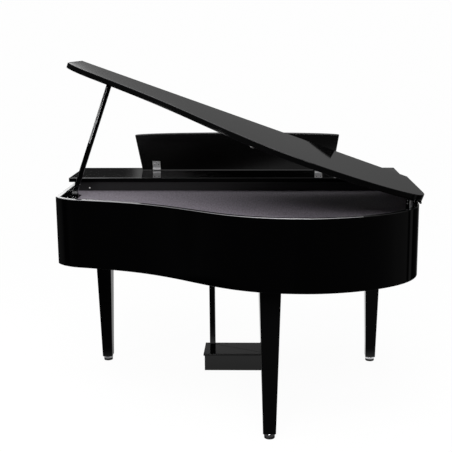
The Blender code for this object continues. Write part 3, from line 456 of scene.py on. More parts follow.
WHITE_CAP = new_finish(
    "white_cap", (0.80, 0.80, 0.78), (0.88, 0.88, 0.86), 0.45, 0.05, 300.0, 0.00002)
GLASS = new_finish("display_glass", (0.006, 0.012, 0.018), (0.010, 0.018, 0.026), 0.04, 0.02, 60.0)
CIRCUIT = new_finish("circuit_board", (0.015, 0.12, 0.04), (0.03, 0.18, 0.07), 0.45, 0.1, 500.0, 0.0001)
print("finishes:", len(bpy.data.materials))

# %% [markdown]
# The panel inside the case is a fibreboard sheet with a fine grey-violet speckle.  A painted
# texture would need its own picture, so two tones are mixed by the speckle mask instead, and the
# same mask roughens it a little.  A second, drawn-out noise clouds the speckle into faint streaks.
# The hidden boards are bare fibreboard, which the same group gives with other colours, and the
# satin aluminium has the long fine scratches of brushing, from a pattern stretched along one axis.

# %% Speckled panel, bare board and brushed aluminium
STREAK = (1.0, 0.16, 1.0)  # draws the clouding out along Y


def patterned(name, colour, second, roughness, scale, amount, stretch=(1.0, 1.0, 1.0), metallic=0.0,
              bump=0.00008, mottle=0.0):
    """Two colours mixed by the fine speckle plus mottle * (noise - 1/2), a noise drawn out along Y."""
    material = bpy.data.materials.new(name)
    material.use_nodes = True
    tree = material.node_tree
    shader = tree.nodes["Principled BSDF"]
    shader.inputs["Metallic"].default_value = metallic
    spot = tree.nodes.new("ShaderNodeTexCoord").outputs["Object"]
    mapping = tree.nodes.new("ShaderNodeMapping")
    mapping.inputs["Scale"].default_value = stretch
    tree.links.new(spot, mapping.inputs["Vector"])
    group = tree.nodes.new("ShaderNodeGroup")
    group.node_tree = speckle
    group.inputs["Scale"].default_value = scale
    group.inputs["Amount"].default_value = amount
    tree.links.new(mapping.outputs[0], group.inputs["Vector"])
    weave = tree.nodes.new("ShaderNodeMapping")
    weave.inputs["Scale"].default_value = STREAK
    tree.links.new(spot, weave.inputs["Vector"])
    clouding = add_noise(tree, weave.outputs[0], 190.0, 2.0, 0.6)
    streaks = add_math(tree, "MULTIPLY_ADD", clouding, mottle, -0.5 * mottle)
    blend = tree.nodes.new("ShaderNodeMix")
    blend.data_type = "RGBA"
    blend.inputs[6].default_value = (*colour, 1.0)
    blend.inputs[7].default_value = (*second, 1.0)
    tree.links.new(add_math(tree, "ADD", group.outputs["Mask"], streaks, clamp=True), blend.inputs[0])
    tree.links.new(blend.outputs[2], shader.inputs["Base Color"])
    tree.links.new(add_math(tree, "ADD", add_math(tree, "MULTIPLY", group.outputs["Mask"], 0.12), roughness),
                   shader.inputs["Roughness"])
    relief = tree.nodes.new("ShaderNodeBump")
    relief.inputs["Distance"].default_value = bump
    tree.links.new(group.outputs["Height"], relief.inputs["Height"])
    tree.links.new(relief.outputs["Normal"], shader.inputs["Normal"])
    return material


SPECKLED = patterned(
    "speckled_panel", (0.105, 0.092, 0.112), (0.250, 0.225, 0.262), 0.68, 620.0, 0.5, mottle=1.6)
BARE_BOARD = patterned("bare_fibreboard", (0.25, 0.19, 0.125), (0.38, 0.30, 0.21), 0.75, 700.0, 0.5)
ALUMINIUM = patterned(
    "brushed_aluminium", (0.50, 0.51, 0.53), (0.66, 0.67, 0.69), 0.24, 300.0, 0.5, (0.04, 1.0, 1.0), 1.0,
    0.00003)
print("patterned finishes ready")

# %% [markdown]
# ## The curve of the case
#
# Seen from above, a grand is straight along the bass, round at the tail, hollow on the bent side
# and square again at the treble.  A curve object could hold this line, but each line beside it
# would need another one.  Four Bezier arcs between five knots are computed here instead.  They
# follow the outline that was measured in the photograph, and the same function moves them along
# the local normal, which gives the inside of the wall and the overhang of the lid.

# %% Outline of the case
KNOTS = [  # point, direction, handle before, handle after
    ((-RIM_HALF, 0.410), (0.0, 1.0), 0.0, 0.226),
    ((-0.391 * RIM_HALF, 0.737), (1.0, 0.0), 0.151, 0.368),
    ((0.660 * RIM_HALF, 0.534 * 0.737), (0.940, -0.300), 0.373, 0.171),
    ((RIM_HALF - 0.043, 0.325), (0.850, -0.555), 0.067, 0.015),
    ((RIM_HALF, 0.269), (0.0, -1.0), 0.018, 0.0),
]


def case_curve(inward, steps=36):
    """Points B(t) = sum of Bernstein weights times handles, moved inward along (dy, -dx) of B'(t)."""
    t = np.linspace(0.0, 1.0, steps + 1)[:, None]
    weights = [(1 - t) ** 3, 3 * (1 - t) ** 2 * t, 3 * (1 - t) * t ** 2, t ** 3]
    slopes = [-3 * (1 - t) ** 2, 3 * (1 - t) ** 2 - 6 * (1 - t) * t, 6 * (1 - t) * t - 3 * t ** 2, 3 * t ** 2]
    parts = []
    for (start, lead, _, out), (end, trail, back, _) in zip(KNOTS, KNOTS[1:]):
        start, end, lead, trail = map(np.array, (start, end, lead, trail))
        lead, trail = lead / np.linalg.norm(lead), trail / np.linalg.norm(trail)
        handles = [start, start + lead * out, end - trail * back, end]
        spots = sum(w * h for w, h in zip(weights, handles))
        along = sum(s * h for s, h in zip(slopes, handles))
        along /= np.linalg.norm(along, axis=1, keepdims=True)
        parts.append((spots + np.stack([along[:, 1], -along[:, 0]], 1) * inward)[1 if parts else 0:])
    return np.concatenate(parts)


def case_ring(inward, front):
    """The curve closed by a straight line at Y = front."""
    curve = case_curve(inward)
    return np.concatenate([[[curve[0, 0], front]], curve, [[curve[-1, 0], front]]])


print("outline points:", len(case_curve(0.0)))

# %% [markdown]
# ## The rim
#
# The rim is a wall of bent board, 20 mm thick.  Its section is a tall rectangle with soft
# corners, and it is carried along the outline and on along both arms beside the keys, where its
# top drops in an S to arm height.  The top edge is rubbed down rather than polished, so it takes
# light from further round than the mirror-bright sides.  The arris outside it is planed off at
# forty-five degrees, and on the curve of the case it is pale metal: a painted highlight that draws
# the light line along the black rim's edge.

# %% Rings of the rim wall
arm_top = RIM_LOW + 0.186
shoulder = -BOARD_DEPTH
nose = [(0.0, -0.030), (0.002, -0.019), (0.006, -0.012), (0.012, -0.007), (0.020, -0.004)]
climb = [(0.038, 0.0), (0.029, 0.0025), (0.020, 0.008), (0.014, 0.016), (0.008, 0.030), (0.003, 0.046),
         (0.0002, 0.056)]
top_y = [FRONT + y for y, _ in nose] + [shoulder - y for y, _ in climb] + [shoulder, 0.0]
top_z = [arm_top + z for _, z in nose + climb] + [RIM_TOP, RIM_TOP]
arm = np.array(sorted(top_y + list(np.linspace(FRONT + 0.03, shoulder - 0.045, 6)) + [-0.1]))
bass_arm = np.column_stack([np.full(len(arm), -RIM_HALF), arm])
treble_arm = np.column_stack([np.full(len(arm), RIM_HALF), arm[::-1]])
outside = np.concatenate([bass_arm, case_curve(0.0), treble_arm])
step = np.array([WALL, 0.0])
inside = np.concatenate([bass_arm + step, case_curve(WALL), treble_arm - step])
wall_top = np.where(outside[:, 1] < 0, np.interp(outside[:, 1], top_y, top_z), RIM_TOP)
turn = np.linspace(0.0, math.pi / 2, 4)
SOFT = 0.0022  # radius of the wall's corners
corner_in, corner_up = SOFT / WALL * (1 - np.sin(turn)), SOFT * (1 - np.cos(turn))
arris_in, arris_up = np.array([0.0, 0.0002, 0.0016, 0.0018]), np.array([-0.0018, -0.0016, -0.0002, 0.0])
across = np.concatenate([corner_in, arris_in / WALL, 1 - corner_in, 1 - corner_in[::-1]])
upright = np.concatenate([corner_up, arris_up, -corner_up, corner_up[::-1]])
is_top = np.repeat([0.0, 1.0, 1.0, 0.0], len(turn))
spots = outside[:, None, :] * (1 - across)[None, :, None] + inside[:, None, :] * across[None, :, None]
heights = RIM_LOW + (wall_top[:, None] - RIM_LOW) * is_top + upright
rim_skin = grid_skin(np.concatenate([spots, heights[..., None]], -1))
print("rim rings:", len(outside), "points in each:", len(across))


# %% Finishes and mesh of the rim
def rim_finish(normal, centre):
    """0 on the sides, 1 on the top edge, 2 on the outward arris on the curve, told by its direction and
    place; its pale colour is a painted highlight.
    """
    high = (normal[:, 2] > 0.35) & (centre[:, 2] > RIM_TOP - 0.004)
    outwards = (normal[:, :2] * (centre[:, :2] - [0.0, 0.25])).sum(1) > 0.05
    # The outward arris on the curve takes the pale colour, a painted highlight along the rim's edge.
    highlight_arris = outwards & (normal[:, 2] < 0.9) & (centre[:, 1] > -0.02) & (centre[:, 0] > -0.48)
    return high.astype(int) + (high & highlight_arris)


make_piece("case_rim", rim_skin, [LACQUER, EDGE_LACQUER, PAINTED_HIGHLIGHT_ARRIS], "root", stands_for=["rim"],
           tops=rim_finish)

# %% [markdown]
# ## Panels of the case
#
# The speckled panel closes the body a little below the rim, and a plain board closes it below.
# The fixed top board lies across the front of the case, proud of the rim on both sides.  All three
# are flat stock cut to a ring, and the first two share the case's own curve, so that they follow
# the wall exactly.  The rear edge of the top board is matt, as the photograph shows it.

# %% Speckled panel, floor panel and top board
sheet = slab(case_ring(WALL + GAP, -0.030), COVER_TOP - 0.008, COVER_TOP, 0.0008, 2)
make_piece("speckled_sheet", sheet, SPECKLED, "root", stands_for=["soundboard_cover"])
sheet = slab(case_ring(WALL + GAP, GAP - WALL), RIM_LOW, RIM_LOW + 0.012, 0.0008, 2)
make_piece("floor_sheet", sheet, BARE_BOARD, "root", stands_for=["bottom_board"])
board = slab(rectangle((-0.725, -BOARD_DEPTH), (0.725, 0.0), 0.003), BOARD_LOW, BOARD_TOP, 0.002)
make_piece("top_board_panel", board, [LACQUER, MATT_EDGE], "root", stands_for=["top_board"],
           tops=lambda normal, centre: normal[:, 1] > 0.9)

# %% [markdown]
# ## The lid
#
# The lid is flat board cut to the outline of the case, 15 mm larger all round and moved a little
# to the treble, with softened edges.  It could be modelled where it stands, but is drawn closed and
# then turned up about the hinge line on the bass side, so its outline stays the case's.  Its top,
# its sides and its underside mirror different parts of the room, and each has its own lacquer.

# %% Lid board
LID_SHIFT, OVERHANG = 0.0105, 0.015
lid_ring = case_ring(-OVERHANG, 0.0015) + np.array([LID_SHIFT, 0.0])
lid_skin = slab(lid_ring - np.array(LID_AXIS[:2]), LID_LOW - LID_AXIS[2], LID_TOP - LID_AXIS[2], 0.0030, 4)
lid_up = np.array([-math.sin(LID_LIFT), 0.0, math.cos(LID_LIFT)])
make_piece("lid_board", lid_skin, [LID_SIDE, TOP_LACQUER, LACQUER], "lid", at=LID_FRAME,
           stands_for=["lid"],
           tops=lambda normal, centre: (normal @ lid_up > 0.6) + 2 * (normal @ lid_up < -0.9))

# %% [markdown]
# ## Screws
#
# The hinges and brackets are held by small pan-head screws.  The cross could be cut with a
# Boolean, which leaves ragged faces at this size.  The head is a low dome instead, and its cross
# is a dip in the dome wherever the point lies close to one of two lines through the middle.

# %% Screw heads
HEAD_RINGS = (1.0, 1.0, 0.94, 0.80, 0.62, 0.55, 0.38, 0.20, 0.06)  # radii from the rim inwards


def pan_head(centre, out, radius):
    """Dome height 0.5 R sqrt(1 - 0.9 r^2), lowered by 0.22 R near the cross; built square to out."""
    out = np.asarray(out, float) / np.linalg.norm(out)
    side = np.cross(out, [0.0, 0.0, 1.0] if abs(out[2]) < 0.9 else [0.0, 1.0, 0.0])
    side /= np.linalg.norm(side)
    third = np.cross(out, side)
    ring = np.array(HEAD_RINGS)[:, None]
    angle = np.arange(32) * 2 * math.pi / 32
    x, y = ring * np.cos(angle), ring * np.sin(angle)
    cross_dip = np.where((np.minimum(np.abs(x), np.abs(y)) < 0.13) & (ring < 0.6), 0.22, 0.0)
    height = 0.5 * np.sqrt(1 - 0.9 * ring ** 2) - cross_dip
    height[0] = 0.0
    grid = (x[..., None] * side + y[..., None] * third + height[..., None] * out) * radius
    return grid_skin(grid + np.asarray(centre))


print("faces of a screw head:", len(pan_head((0, 0, 0), (0, 0, 1), 0.003)[1]))

# %% [markdown]
# ## Prop stick and its bracket
#
# A black stick holds the lid.  It turns on a pin between the two ears of a bracket that is screwed
# to the inside of the rim, and its head stands in a small cup under the lid.  It could be drawn
# leaning, but upright about its pin it is a plain block, and the frame that leans it serves the
# two light lines along its rear side as well.  These lines are painted highlights: two pale zinc
# strips on the black stick, for the light along its polished edge.

# %% Prop stick, its painted highlight strips and the bracket screws
prop_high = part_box("prop_stick")[1]
reach = (prop_high.z - PROP_AXIS[2] - 0.010 * math.sin(LID_LIFT)) / math.cos(LID_LIFT)
stick = block((-0.010, -0.007, -0.009), (0.010, 0.007, reach), 0.0018)
pin = lathe(soft_profile(0.003, -0.0135, 0.0135, 0.0006), axis="y", sides=24)
make_piece("prop_bar", together([stick, pin]), LACQUER, "prop", at=PROP_FRAME, stands_for=["prop_stick"])
# Two pale zinc strips on the black stick: painted highlights for the light along its polished edge.
highlight_strips = [block((x, 0.0062, reach * 0.45), (x + 0.0020, 0.0074, reach * 0.95), 0.0005)
          for x in (0.0016, 0.0060)]
make_piece("prop_painted_highlights", together(highlight_strips), ZINC, "prop", at=PROP_FRAME)
pin_x, pin_y, pin_z = PROP_AXIS
base = RIM_HALF - WALL - 0.0033
screws = [pan_head((base, pin_y + side * 0.0140, pin_z), (-1, 0, 0), 0.0022) for side in (-1, 1)]
screws += [pan_head((pin_x, pin_y - 0.0142, pin_z), (0, -1, 0), 0.0040)]
screws += [pan_head((x, y, COVER_TOP + 0.0030), (0, 0, 1), 0.0034)
           for x, y in ((0.6920, 0.186), (0.6706, 0.184), (0.6585, 0.184))]
make_piece("prop_bracket_screws", together(screws), STEEL, "root")
print("stick length:", round(reach, 4))

# %% [markdown]
# Under the bracket lies a black plate, and beside it on the camera's side stands a satin clamp.  A
# plain block would do for the clamp, but its rings lean in towards a rounded top here, so that it
# catches the light from above.

# %% Base plate and clamp of the prop
plate_ring = rectangle((0.6480, 0.110), (RIM_HALF - WALL - 0.0006, 0.244), 0.012, 6)
make_piece("prop_base_plate", slab(plate_ring, COVER_TOP + GAP, COVER_TOP + 0.0030, 0.0008), MATT_EDGE,
           "root")
rows = [(0.0020, 0.8738), (0.0004, 0.8742), (0.0, 0.8750), (0.0006, 0.8780), (0.0020, 0.8820),
        (0.0034, 0.8848), (0.0060, 0.8862), (0.0085, 0.8868)]  # inset and height of each ring
clamp_ring = rectangle((0.6500, 0.1616), (0.6760, 0.1790), 0.0030, 4)
clamp = grid_skin(np.stack([np.column_stack([inset(clamp_ring, d), np.full(len(clamp_ring), z)])
                            for d, z in rows]))
make_piece("prop_clamp", clamp, SATIN, "root")
make_piece("prop_clamp_foot", slab(inset(clamp_ring, -0.0012), COVER_TOP + 0.0031, 0.8737, 0.0012), MATT_EDGE,
           "root")

# %% [markdown]
# ## The music desk
#
# The desk is a thin board, wider at the top than at the foot, with a gently crowned top edge and
# a ledge along its player's side.  It leans back on two small bright hinges.  The crown could be
# cut from a taller board.  Here the outline is one ring: straight along the foot and the sides,
# and half of a flat ellipse along the top.

# %% Desk board, ledge and hinge screws
FOOT_HALF, TOP_HALF = 0.436, 0.458
DESK_FOOT, DESK_HEIGHT, CROWN = -0.0075, 0.172, 0.012
DESK_HINGE_X = 0.370
crown = np.linspace(0.0, math.pi, 41)
arc = np.stack([TOP_HALF * np.cos(crown), DESK_HEIGHT + DESK_FOOT + CROWN * np.sin(crown)], 1)
desk_ring = np.concatenate([[[FOOT_HALF, DESK_FOOT]], arc, [[-FOOT_HALF, DESK_FOOT]]])
stood = np.array([[1.0, 0.0, 0.0], [0.0, 0.0, 1.0], [0.0, 1.0, 0.0]])
desk_points, desk_faces = slab(desk_ring, -0.0175, -0.0055, 0.0018)
ledge = block((-0.416, -0.0455, -0.0055), (0.416, -0.0165, 0.0025), 0.0015)
make_piece("desk_board", together([(desk_points @ stood, desk_faces), ledge]), DESK_LACQUER, "desk",
           at=DESK_FRAME, stands_for=["music_desk"])
heads = [pan_head((x + step_x, -0.0030, z), (0, 1, 0), 0.0026)
         for x in (-DESK_HINGE_X, DESK_HINGE_X)
         for step_x, z in ((-0.0095, 0.022), (0.0095, 0.022), (0.0, 0.031))]
make_piece("desk_hinge_screws", together(heads), STEEL, "desk", at=DESK_FRAME)

# %% [markdown]
# ## Lid hinges
#
# Each hinge has a leaf on the rim, a leaf under the lid and a pin through their knuckles.  The
# leaves are the CAD's own, since a flat plate gains little from rounding.  They get their screws,
# a pin with domed ends and a black cover.

# %% Hinge screws, pins and covers
HINGES_Y = (0.075, 0.400)
rim_heads, lid_heads, pins = [], [], []
for y in HINGES_Y:
    for along in (-0.020, 0.020):
        rim_heads.append(pan_head((-RIM_HALF + 0.020, y + along, RIM_TOP + 0.0023), (0, 0, 1), 0.0032))
        lid_heads.append(pan_head((0.020, y + along, LID_LOW - LID_AXIS[2] - 0.0023), (0, 0, -1), 0.0032))
    dome = [(0.0002, -0.0322), (0.0020, -0.0318), (0.0032, -0.0306), (0.0034, -0.0300)]
    profile = dome + [(r, -z) for r, z in dome[::-1]]
    pins.append(lathe(profile, (LID_AXIS[0], y, LID_AXIS[2]), "y", 24))
make_piece("rim_leaf_screws", together(rim_heads + pins), STEEL, "root")
make_piece("lid_leaf_screws", together(lid_heads), ZINC, "lid", at=LID_FRAME)
leaf_top = RIM_TOP + 0.0026
covers = [block((-RIM_HALF + 0.0045, y - 0.013, leaf_top), (-RIM_HALF + 0.0300, y + 0.013, leaf_top + 0.0124),
                0.0025, 4) for y in HINGES_Y]
make_piece("hinge_covers", together(covers), MATT_EDGE, "root")

# %% [markdown]
# Near the tail hinge a short post stands on the panel as the lid's stop, with a black bracket
# beside it that carries two bright screws.  A thin strap, bent in an S, runs up beside the hinge.
# A curve object could carry it, but a small rectangle taken up a sine needs only one line.

# %% Lid stop and strap
stop_foot = COVER_TOP + GAP
post = lathe(soft_profile(0.0064, 0.0, 0.0440, 0.0016), (-0.6785, 0.492, stop_foot), "z", 32)
make_piece("lid_stop_post", post, ZINC, "root")
bracket = block((-0.6715, 0.4870, stop_foot), (-0.6590, 0.4965, COVER_TOP + 0.0490), 0.0020, 4)
make_piece("lid_stop_bracket", bracket, MATT_EDGE, "root")
dots = [pan_head((-0.6650, 0.4966, COVER_TOP + z), (0, 1, 0), 0.0030) for z in (0.0335, 0.0450)]
make_piece("lid_stop_screws", together(dots), ZINC, "root")
run = np.linspace(0.0, 1.0, 25)[:, None]
section = np.array([(-0.0011, 0.428), (0.0011, 0.428), (0.0011, 0.434), (-0.0011, 0.434)])
bend = -0.7035 + 0.0022 * np.sin(2 * math.pi * run) + section[:, 0]
strap = np.stack(np.broadcast_arrays(bend, section[:, 1], leaf_top + 0.0225 * run), -1)
make_piece("tail_hinge_strap", grid_skin(strap), ZINC, "root")

# %% [markdown]
# ## Legs and feet
#
# The legs taper towards the floor, and each one stands on a chrome ring over a black glide.  A
# cube could be scaled at one end, but its rounded corners would shrink with it.  Here a leg is a
# stack of rounded rectangles whose half sizes run in a straight line from foot to top, with the
# same corner all the way.  The tail leg's rear corner on the treble side is planed a little.

# %% Tapered legs
RING_TOP = 0.0220  # of the chrome ring under each leg
TAIL_PARE = 0.006


def tapered_leg(x, y, foot, head, pare=0.0):
    """Half sizes h(z) = foot + (head - foot) f, f from 0 at the foot to 1 above; pare f planes one corner."""
    rows = edge_rows(RING_TOP + GAP, RIM_LOW - GAP, 0.0015)
    grid = []
    for pull, z in rows:
        f = (z - rows[0, 1]) / (rows[-1, 1] - rows[0, 1])
        hx, hy = (foot[k] + (head[k] - foot[k]) * f for k in (0, 1))
        ring = inset(rectangle((x - hx, y - hy), (x + hx, y + hy), 0.0030), pull)
        near = np.clip((ring[:, 1] - y) / hy, 0.0, 1.0) * (ring[:, 0] > x)
        ring[:, 0] -= pare * f * near
        grid.append(np.column_stack([ring, np.full(len(ring), z)]))
    return grid_skin(np.stack(grid))


NARROW_HEAD, NARROW_FOOT = (0.037, 0.043), (0.023, 0.025)
LEG_PLACES = {"treble": (0.625, -0.245), "bass": (-0.625, -0.245), "tail": (-0.145, 0.620)}
for side, (x, y) in LEG_PLACES.items():
    head, foot = (NARROW_HEAD[::-1], NARROW_FOOT[::-1]) if side == "tail" else (NARROW_HEAD, NARROW_FOOT)
    leg = tapered_leg(x, y, foot, head, TAIL_PARE if side == "tail" else 0.0)
    make_piece(f"{side}_tapered_leg", leg, LACQUER, "root", stands_for=[f"{side}_leg"])
    ring = lathe(soft_profile(0.0215, 0.0100, RING_TOP, 0.0025), (x, y, 0.0), sides=48)
    glide = lathe(soft_profile(0.0205, 0.0, 0.0101, 0.0012), (x, y, 0.0), sides=48)
    make_piece(f"{side}_foot_turned", together([ring, glide]), [CHROME, RUBBER], "root",
               stands_for=[f"{side}_foot"], tops=lambda normal, centre: centre[:, 2] < 0.00995)

# %% [markdown]
# ## The pedal lyre
#
# Two square posts carry a box with the pedals below the keys.  The box keeps the CAD's own solid,
# with its three slots, and its lid is a thin board with soft edges.

# %% Lyre posts and box top
BOX_TOP = 0.0943
for side, sign in (("treble", 1), ("bass", -1)):
    x = sign * 0.1165
    post = block((x - 0.013, -0.158, BOX_TOP + GAP), (x + 0.013, -0.132, RIM_LOW - GAP), 0.0018)
    make_piece(f"{side}_post", post, LACQUER, "root", stands_for=[f"{side}_lyre_post"])
box_lid = block((-0.155, -0.218, BOX_TOP - 0.010), (0.155, -0.058, BOX_TOP), 0.0018)
make_piece("lyre_box_top", box_lid, BOX_LACQUER, "root", stands_for=["pedal_box_top"])

# %% [markdown]
# A pedal is a brass casting: a narrow neck that widens to a rounded blade.  Its plan is drawn
# once, its edges are rounded almost to a half circle, and the whole is bent so that the blade
# rises a little towards its tip.

# %% Three pedals
tip_turn = np.linspace(math.pi, 2 * math.pi, 17)
tip = np.stack([0.0115 * np.cos(tip_turn), -0.151 + 0.0115 * np.sin(tip_turn)], 1)
ease = np.linspace(0.0, 1.0, 9)[:, None]
neck_side = np.concatenate([0.0075 + 0.004 * (3 * ease ** 2 - 2 * ease ** 3), -0.090 - 0.030 * ease], 1)
neck_side = np.concatenate([[[0.0075, 0.012], [0.0075, -0.030], [0.0075, -0.060]], neck_side])
pedal_ring = np.concatenate([neck_side * (-1, 1), tip, neck_side[::-1]])
pedal_points, pedal_faces = slab(pedal_ring, -0.0035, 0.0035, 0.0026, 4)
blade = np.clip((-pedal_points[:, 1] - 0.070) / 0.090, 0.0, 1.0)
pedal_points[:, 2] += 0.0030 * blade ** 2
pin = lathe(soft_profile(0.0031, -0.0136, 0.0136, 0.0006), axis="x", sides=20)
for step, name in ((-1, "soft"), (0, "sostenuto"), (1, "damper")):
    make_piece(f"{name}_pedal_casting", together([(pedal_points, pedal_faces), pin]), BRASS, f"{name}_pedal",
               at=frame_at((step * 0.062, -0.150, 0.041)), stands_for=[f"{name}_pedal"])

# %% [markdown]
# ## The keyboard
#
# 52 white and 36 black keys.  A white key is flat stock whose plan has a notch for each black
# neighbour.  A black key is a bar whose sides lean in and whose front slopes back, so its rings
# shrink as they rise.  Twelve keys in the middle move one by one, and the others in four rows.

# %% Plans of the keys
PITCH_KEYS = 0.0235  # from one white key to the next
KEY_FRONT, KEY_BACK = -0.4854, -0.2849
HEAD_BACK, SPINE = KEY_FRONT + 0.050, KEY_BACK - 0.015
KEY_LOW, WHITE_TOP, BLACK_TOP = 0.713, 0.735, 0.748
# How far each black key stands aside, by the place in the octave of the white key before it
SIDE_STEP = {0: -0.0020, 1: 0.0020, 3: -0.0030, 4: 0.0, 5: 0.0030}
BLACK_HALF = 0.0055  # half the width of a black key
blacks = {i: (i + 1 - 26) * PITCH_KEYS + SIDE_STEP[(i + 5) % 7]
          for i in range(51) if (i + 5) % 7 in SIDE_STEP}
print("black keys:", len(blacks))


def white_key(index):
    """The plan with its notches, 6.7 mm from each black key's middle line, as flat stock."""
    left = (index - 26) * PITCH_KEYS + 0.0005
    right = left + PITCH_KEYS - 0.001
    tail_left = max(left, blacks.get(index - 1, left - 1) + 0.0067)
    tail_right = min(right, blacks.get(index, right + 1) - 0.0067)
    ring = [(tail_left, KEY_BACK), (tail_left, HEAD_BACK)]
    ring += [(left, HEAD_BACK)] if tail_left > left else []
    ring += [(left, KEY_FRONT), (right, KEY_FRONT)]
    ring += [(right, HEAD_BACK)] if tail_right < right else []
    ring += [(tail_right, HEAD_BACK), (tail_right, KEY_BACK)]
    return slab(np.array(ring), KEY_LOW, WHITE_TOP, 0.0007, 2)


def black_key(centre, back):
    """Rings about the back edge: sides shrink by the first factor, the length by the second."""
    front = HEAD_BACK + 0.0014
    ring = rectangle((-BLACK_HALF, front), (BLACK_HALF, back), 0.0012)
    rows = [(0.80, 1.0, KEY_LOW), (1.0, 1.0, KEY_LOW + 0.0005), (1.0, 1.0, 0.7368),
            (0.88, 0.982, BLACK_TOP - 0.0022), (0.82, 0.975, BLACK_TOP - 0.0008),
            (0.72, 0.966, BLACK_TOP - 0.0001), (0.50, 0.955, BLACK_TOP)]
    return grid_skin(np.stack([np.column_stack([centre + ring[:, 0] * wide, back + (ring[:, 1] - back) * long,
                                                np.full(len(ring), z)]) for wide, long, z in rows]))


# %% Keys in their bodies
NAMES = "cdefgab"
for index in range(23, 30):
    note = NAMES[index - 23]
    make_piece(f"white_{note}", white_key(index), IVORY, f"key_{note}", stands_for=[f"key_{note}"])
    if index in blacks:
        sharp = f"key_{note}_sharp"
        make_piece(f"black_{note}_sharp", black_key(blacks[index], KEY_BACK), EBONY, sharp,
                   stands_for=[sharp])
for row, first, last in (("lower", 0, 22), ("upper", 30, 51)):
    whites = together([white_key(i) for i in range(first, last + 1)])
    make_piece(f"{row}_whites", whites, IVORY, f"{row}_white_keys", stands_for=[f"{row}_white_keys"])
    centres = [x for i, x in blacks.items() if first <= i <= last]
    rail = block((min(centres) - BLACK_HALF, SPINE, 0.7358), (max(centres) + BLACK_HALF, KEY_BACK, 0.7470),
                 0.0006, 2)
    make_piece(f"{row}_blacks", together([black_key(x, SPINE - 0.0004) for x in centres] + [rail]), EBONY,
               f"{row}_black_keys", stands_for=[f"{row}_black_keys"])

# %% [markdown]
# ## Around the keys
#
# End blocks, the key slip in front and the sliding cover are black lacquered boards with soft
# edges.  The solids could be kept, but their edges are sharp, so each board is a rounded block.

# %% Boards around the keys
for side, sign in (("treble", 1), ("bass", -1)):
    low_x, high_x = sorted((sign * 0.6125, sign * (RIM_HALF - WALL - GAP)))
    cheek = block((low_x, -0.4872, 0.6303), (high_x, -0.160, 0.7572), 0.0020)
    make_piece(f"{side}_cheek", cheek, LACQUER, "root", stands_for=[f"{side}_end_block"])
within = RIM_HALF - WALL - GAP
slip = block((-within, FRONT, RIM_LOW), (within, -0.4875, 0.724), 0.0030, 4)
make_piece("slip_board", slip, LACQUER, "root", stands_for=["key_slip"])
within = RIM_HALF - WALL - 0.0008
cover = block((-within, -0.334, 0.7575), (within, -0.168, 0.7695), 0.0020)
pull = block((-0.090, -0.335, 0.7685), (0.090, -0.327, 0.7725), 0.0014)
make_piece("sliding_cover", together([cover, pull]), LACQUER, "key_cover", stands_for=["key_cover"])

# %% [markdown]
# ## Controls
#
# The fascia carries a dark display, a knurled volume knob and two push buttons.  Knurls could be a
# bump, but a bump leaves the outline smooth.  The knob is therefore a lathe profile whose radius
# ripples with the angle, and the buttons are lathe profiles with dished faces.

# %% Display, knob and buttons
FASCIA, PANEL_Z = -0.3155, 0.8315
glass = block((-0.055, FASCIA - 0.0029, PANEL_Z - 0.017), (0.055, FASCIA - GAP, PANEL_Z + 0.017), 0.0008)
make_piece("display_window", glass, GLASS, "root", stands_for=["display"])
KNOB_X, KNOB_SIDES, KNURL = -0.300, 96, 0.0004
angle = np.arange(KNOB_SIDES) * 2 * math.pi / KNOB_SIDES
rows = np.array([(0.0124, -0.0003, 0), (0.0138, -0.0010, 0), (0.0140, -0.0018, 1), (0.0136, -0.0110, 1),
                 (0.0133, -0.0120, 0), (0.0124, -0.0130, 0), (0.0112, -0.0133, 0), (0.0105, -0.0127, 0),
                 (0.0020, -0.0123, 0)])  # radius, place along the shaft, 1 where it is knurled
radius = rows[:, :1] - KNURL * rows[:, 2:] * (np.arange(KNOB_SIDES) % 2)
grid = np.stack(np.broadcast_arrays(radius * np.sin(angle), rows[:, 1:2], radius * np.cos(angle)), -1)
shaft = lathe(soft_profile(0.003, -0.006, 0.0078, 0.0005), axis="y", sides=20)
mark = block((-0.0006, -0.0135, 0.0066), (0.0006, -0.0120, 0.0116), 0.0003, 1)


def knob_finish(normal, centre):
    """1 on the white mark, told by its place, and 0 on the knob."""
    x, y, z = (centre - [KNOB_X, FASCIA, PANEL_Z]).T
    return (np.abs(x) < 0.0007) & (z > 0.0064) & (z < 0.0118) & (y < -0.0122)


make_piece("volume_knob_turned", together([grid_skin(grid), shaft, mark]), [ALUMINIUM, WHITE_CAP],
           "volume_knob", at=frame_at((KNOB_X, FASCIA, PANEL_Z)), stands_for=["volume_knob"],
           tops=knob_finish)
dish = [(0.0040, 0.0060), (0.0056, 0.0058), (0.0060, 0.0052), (0.0060, -0.0018), (0.0057, -0.0025),
        (0.0050, -0.0028), (0.0042, -0.0026), (0.0022, -0.0020), (0.0004, -0.0019)]
for name, x in (("power_button", -0.560), ("mode_button", 0.110)):
    make_piece(f"{name}_cap", lathe(dish, axis="y", sides=40), SATIN, name, at=frame_at((x, FASCIA, PANEL_Z)),
               stands_for=[name])

# %% [markdown]
# ## Small things on the case
#
# White plastic caps cover two fixings in the inner panel, and two white bumpers under the lid
# cushion its closing.  Each is a short profile turned on the lathe rather than a plain disc, since
# its rounded rim is what shows as a small light spot.

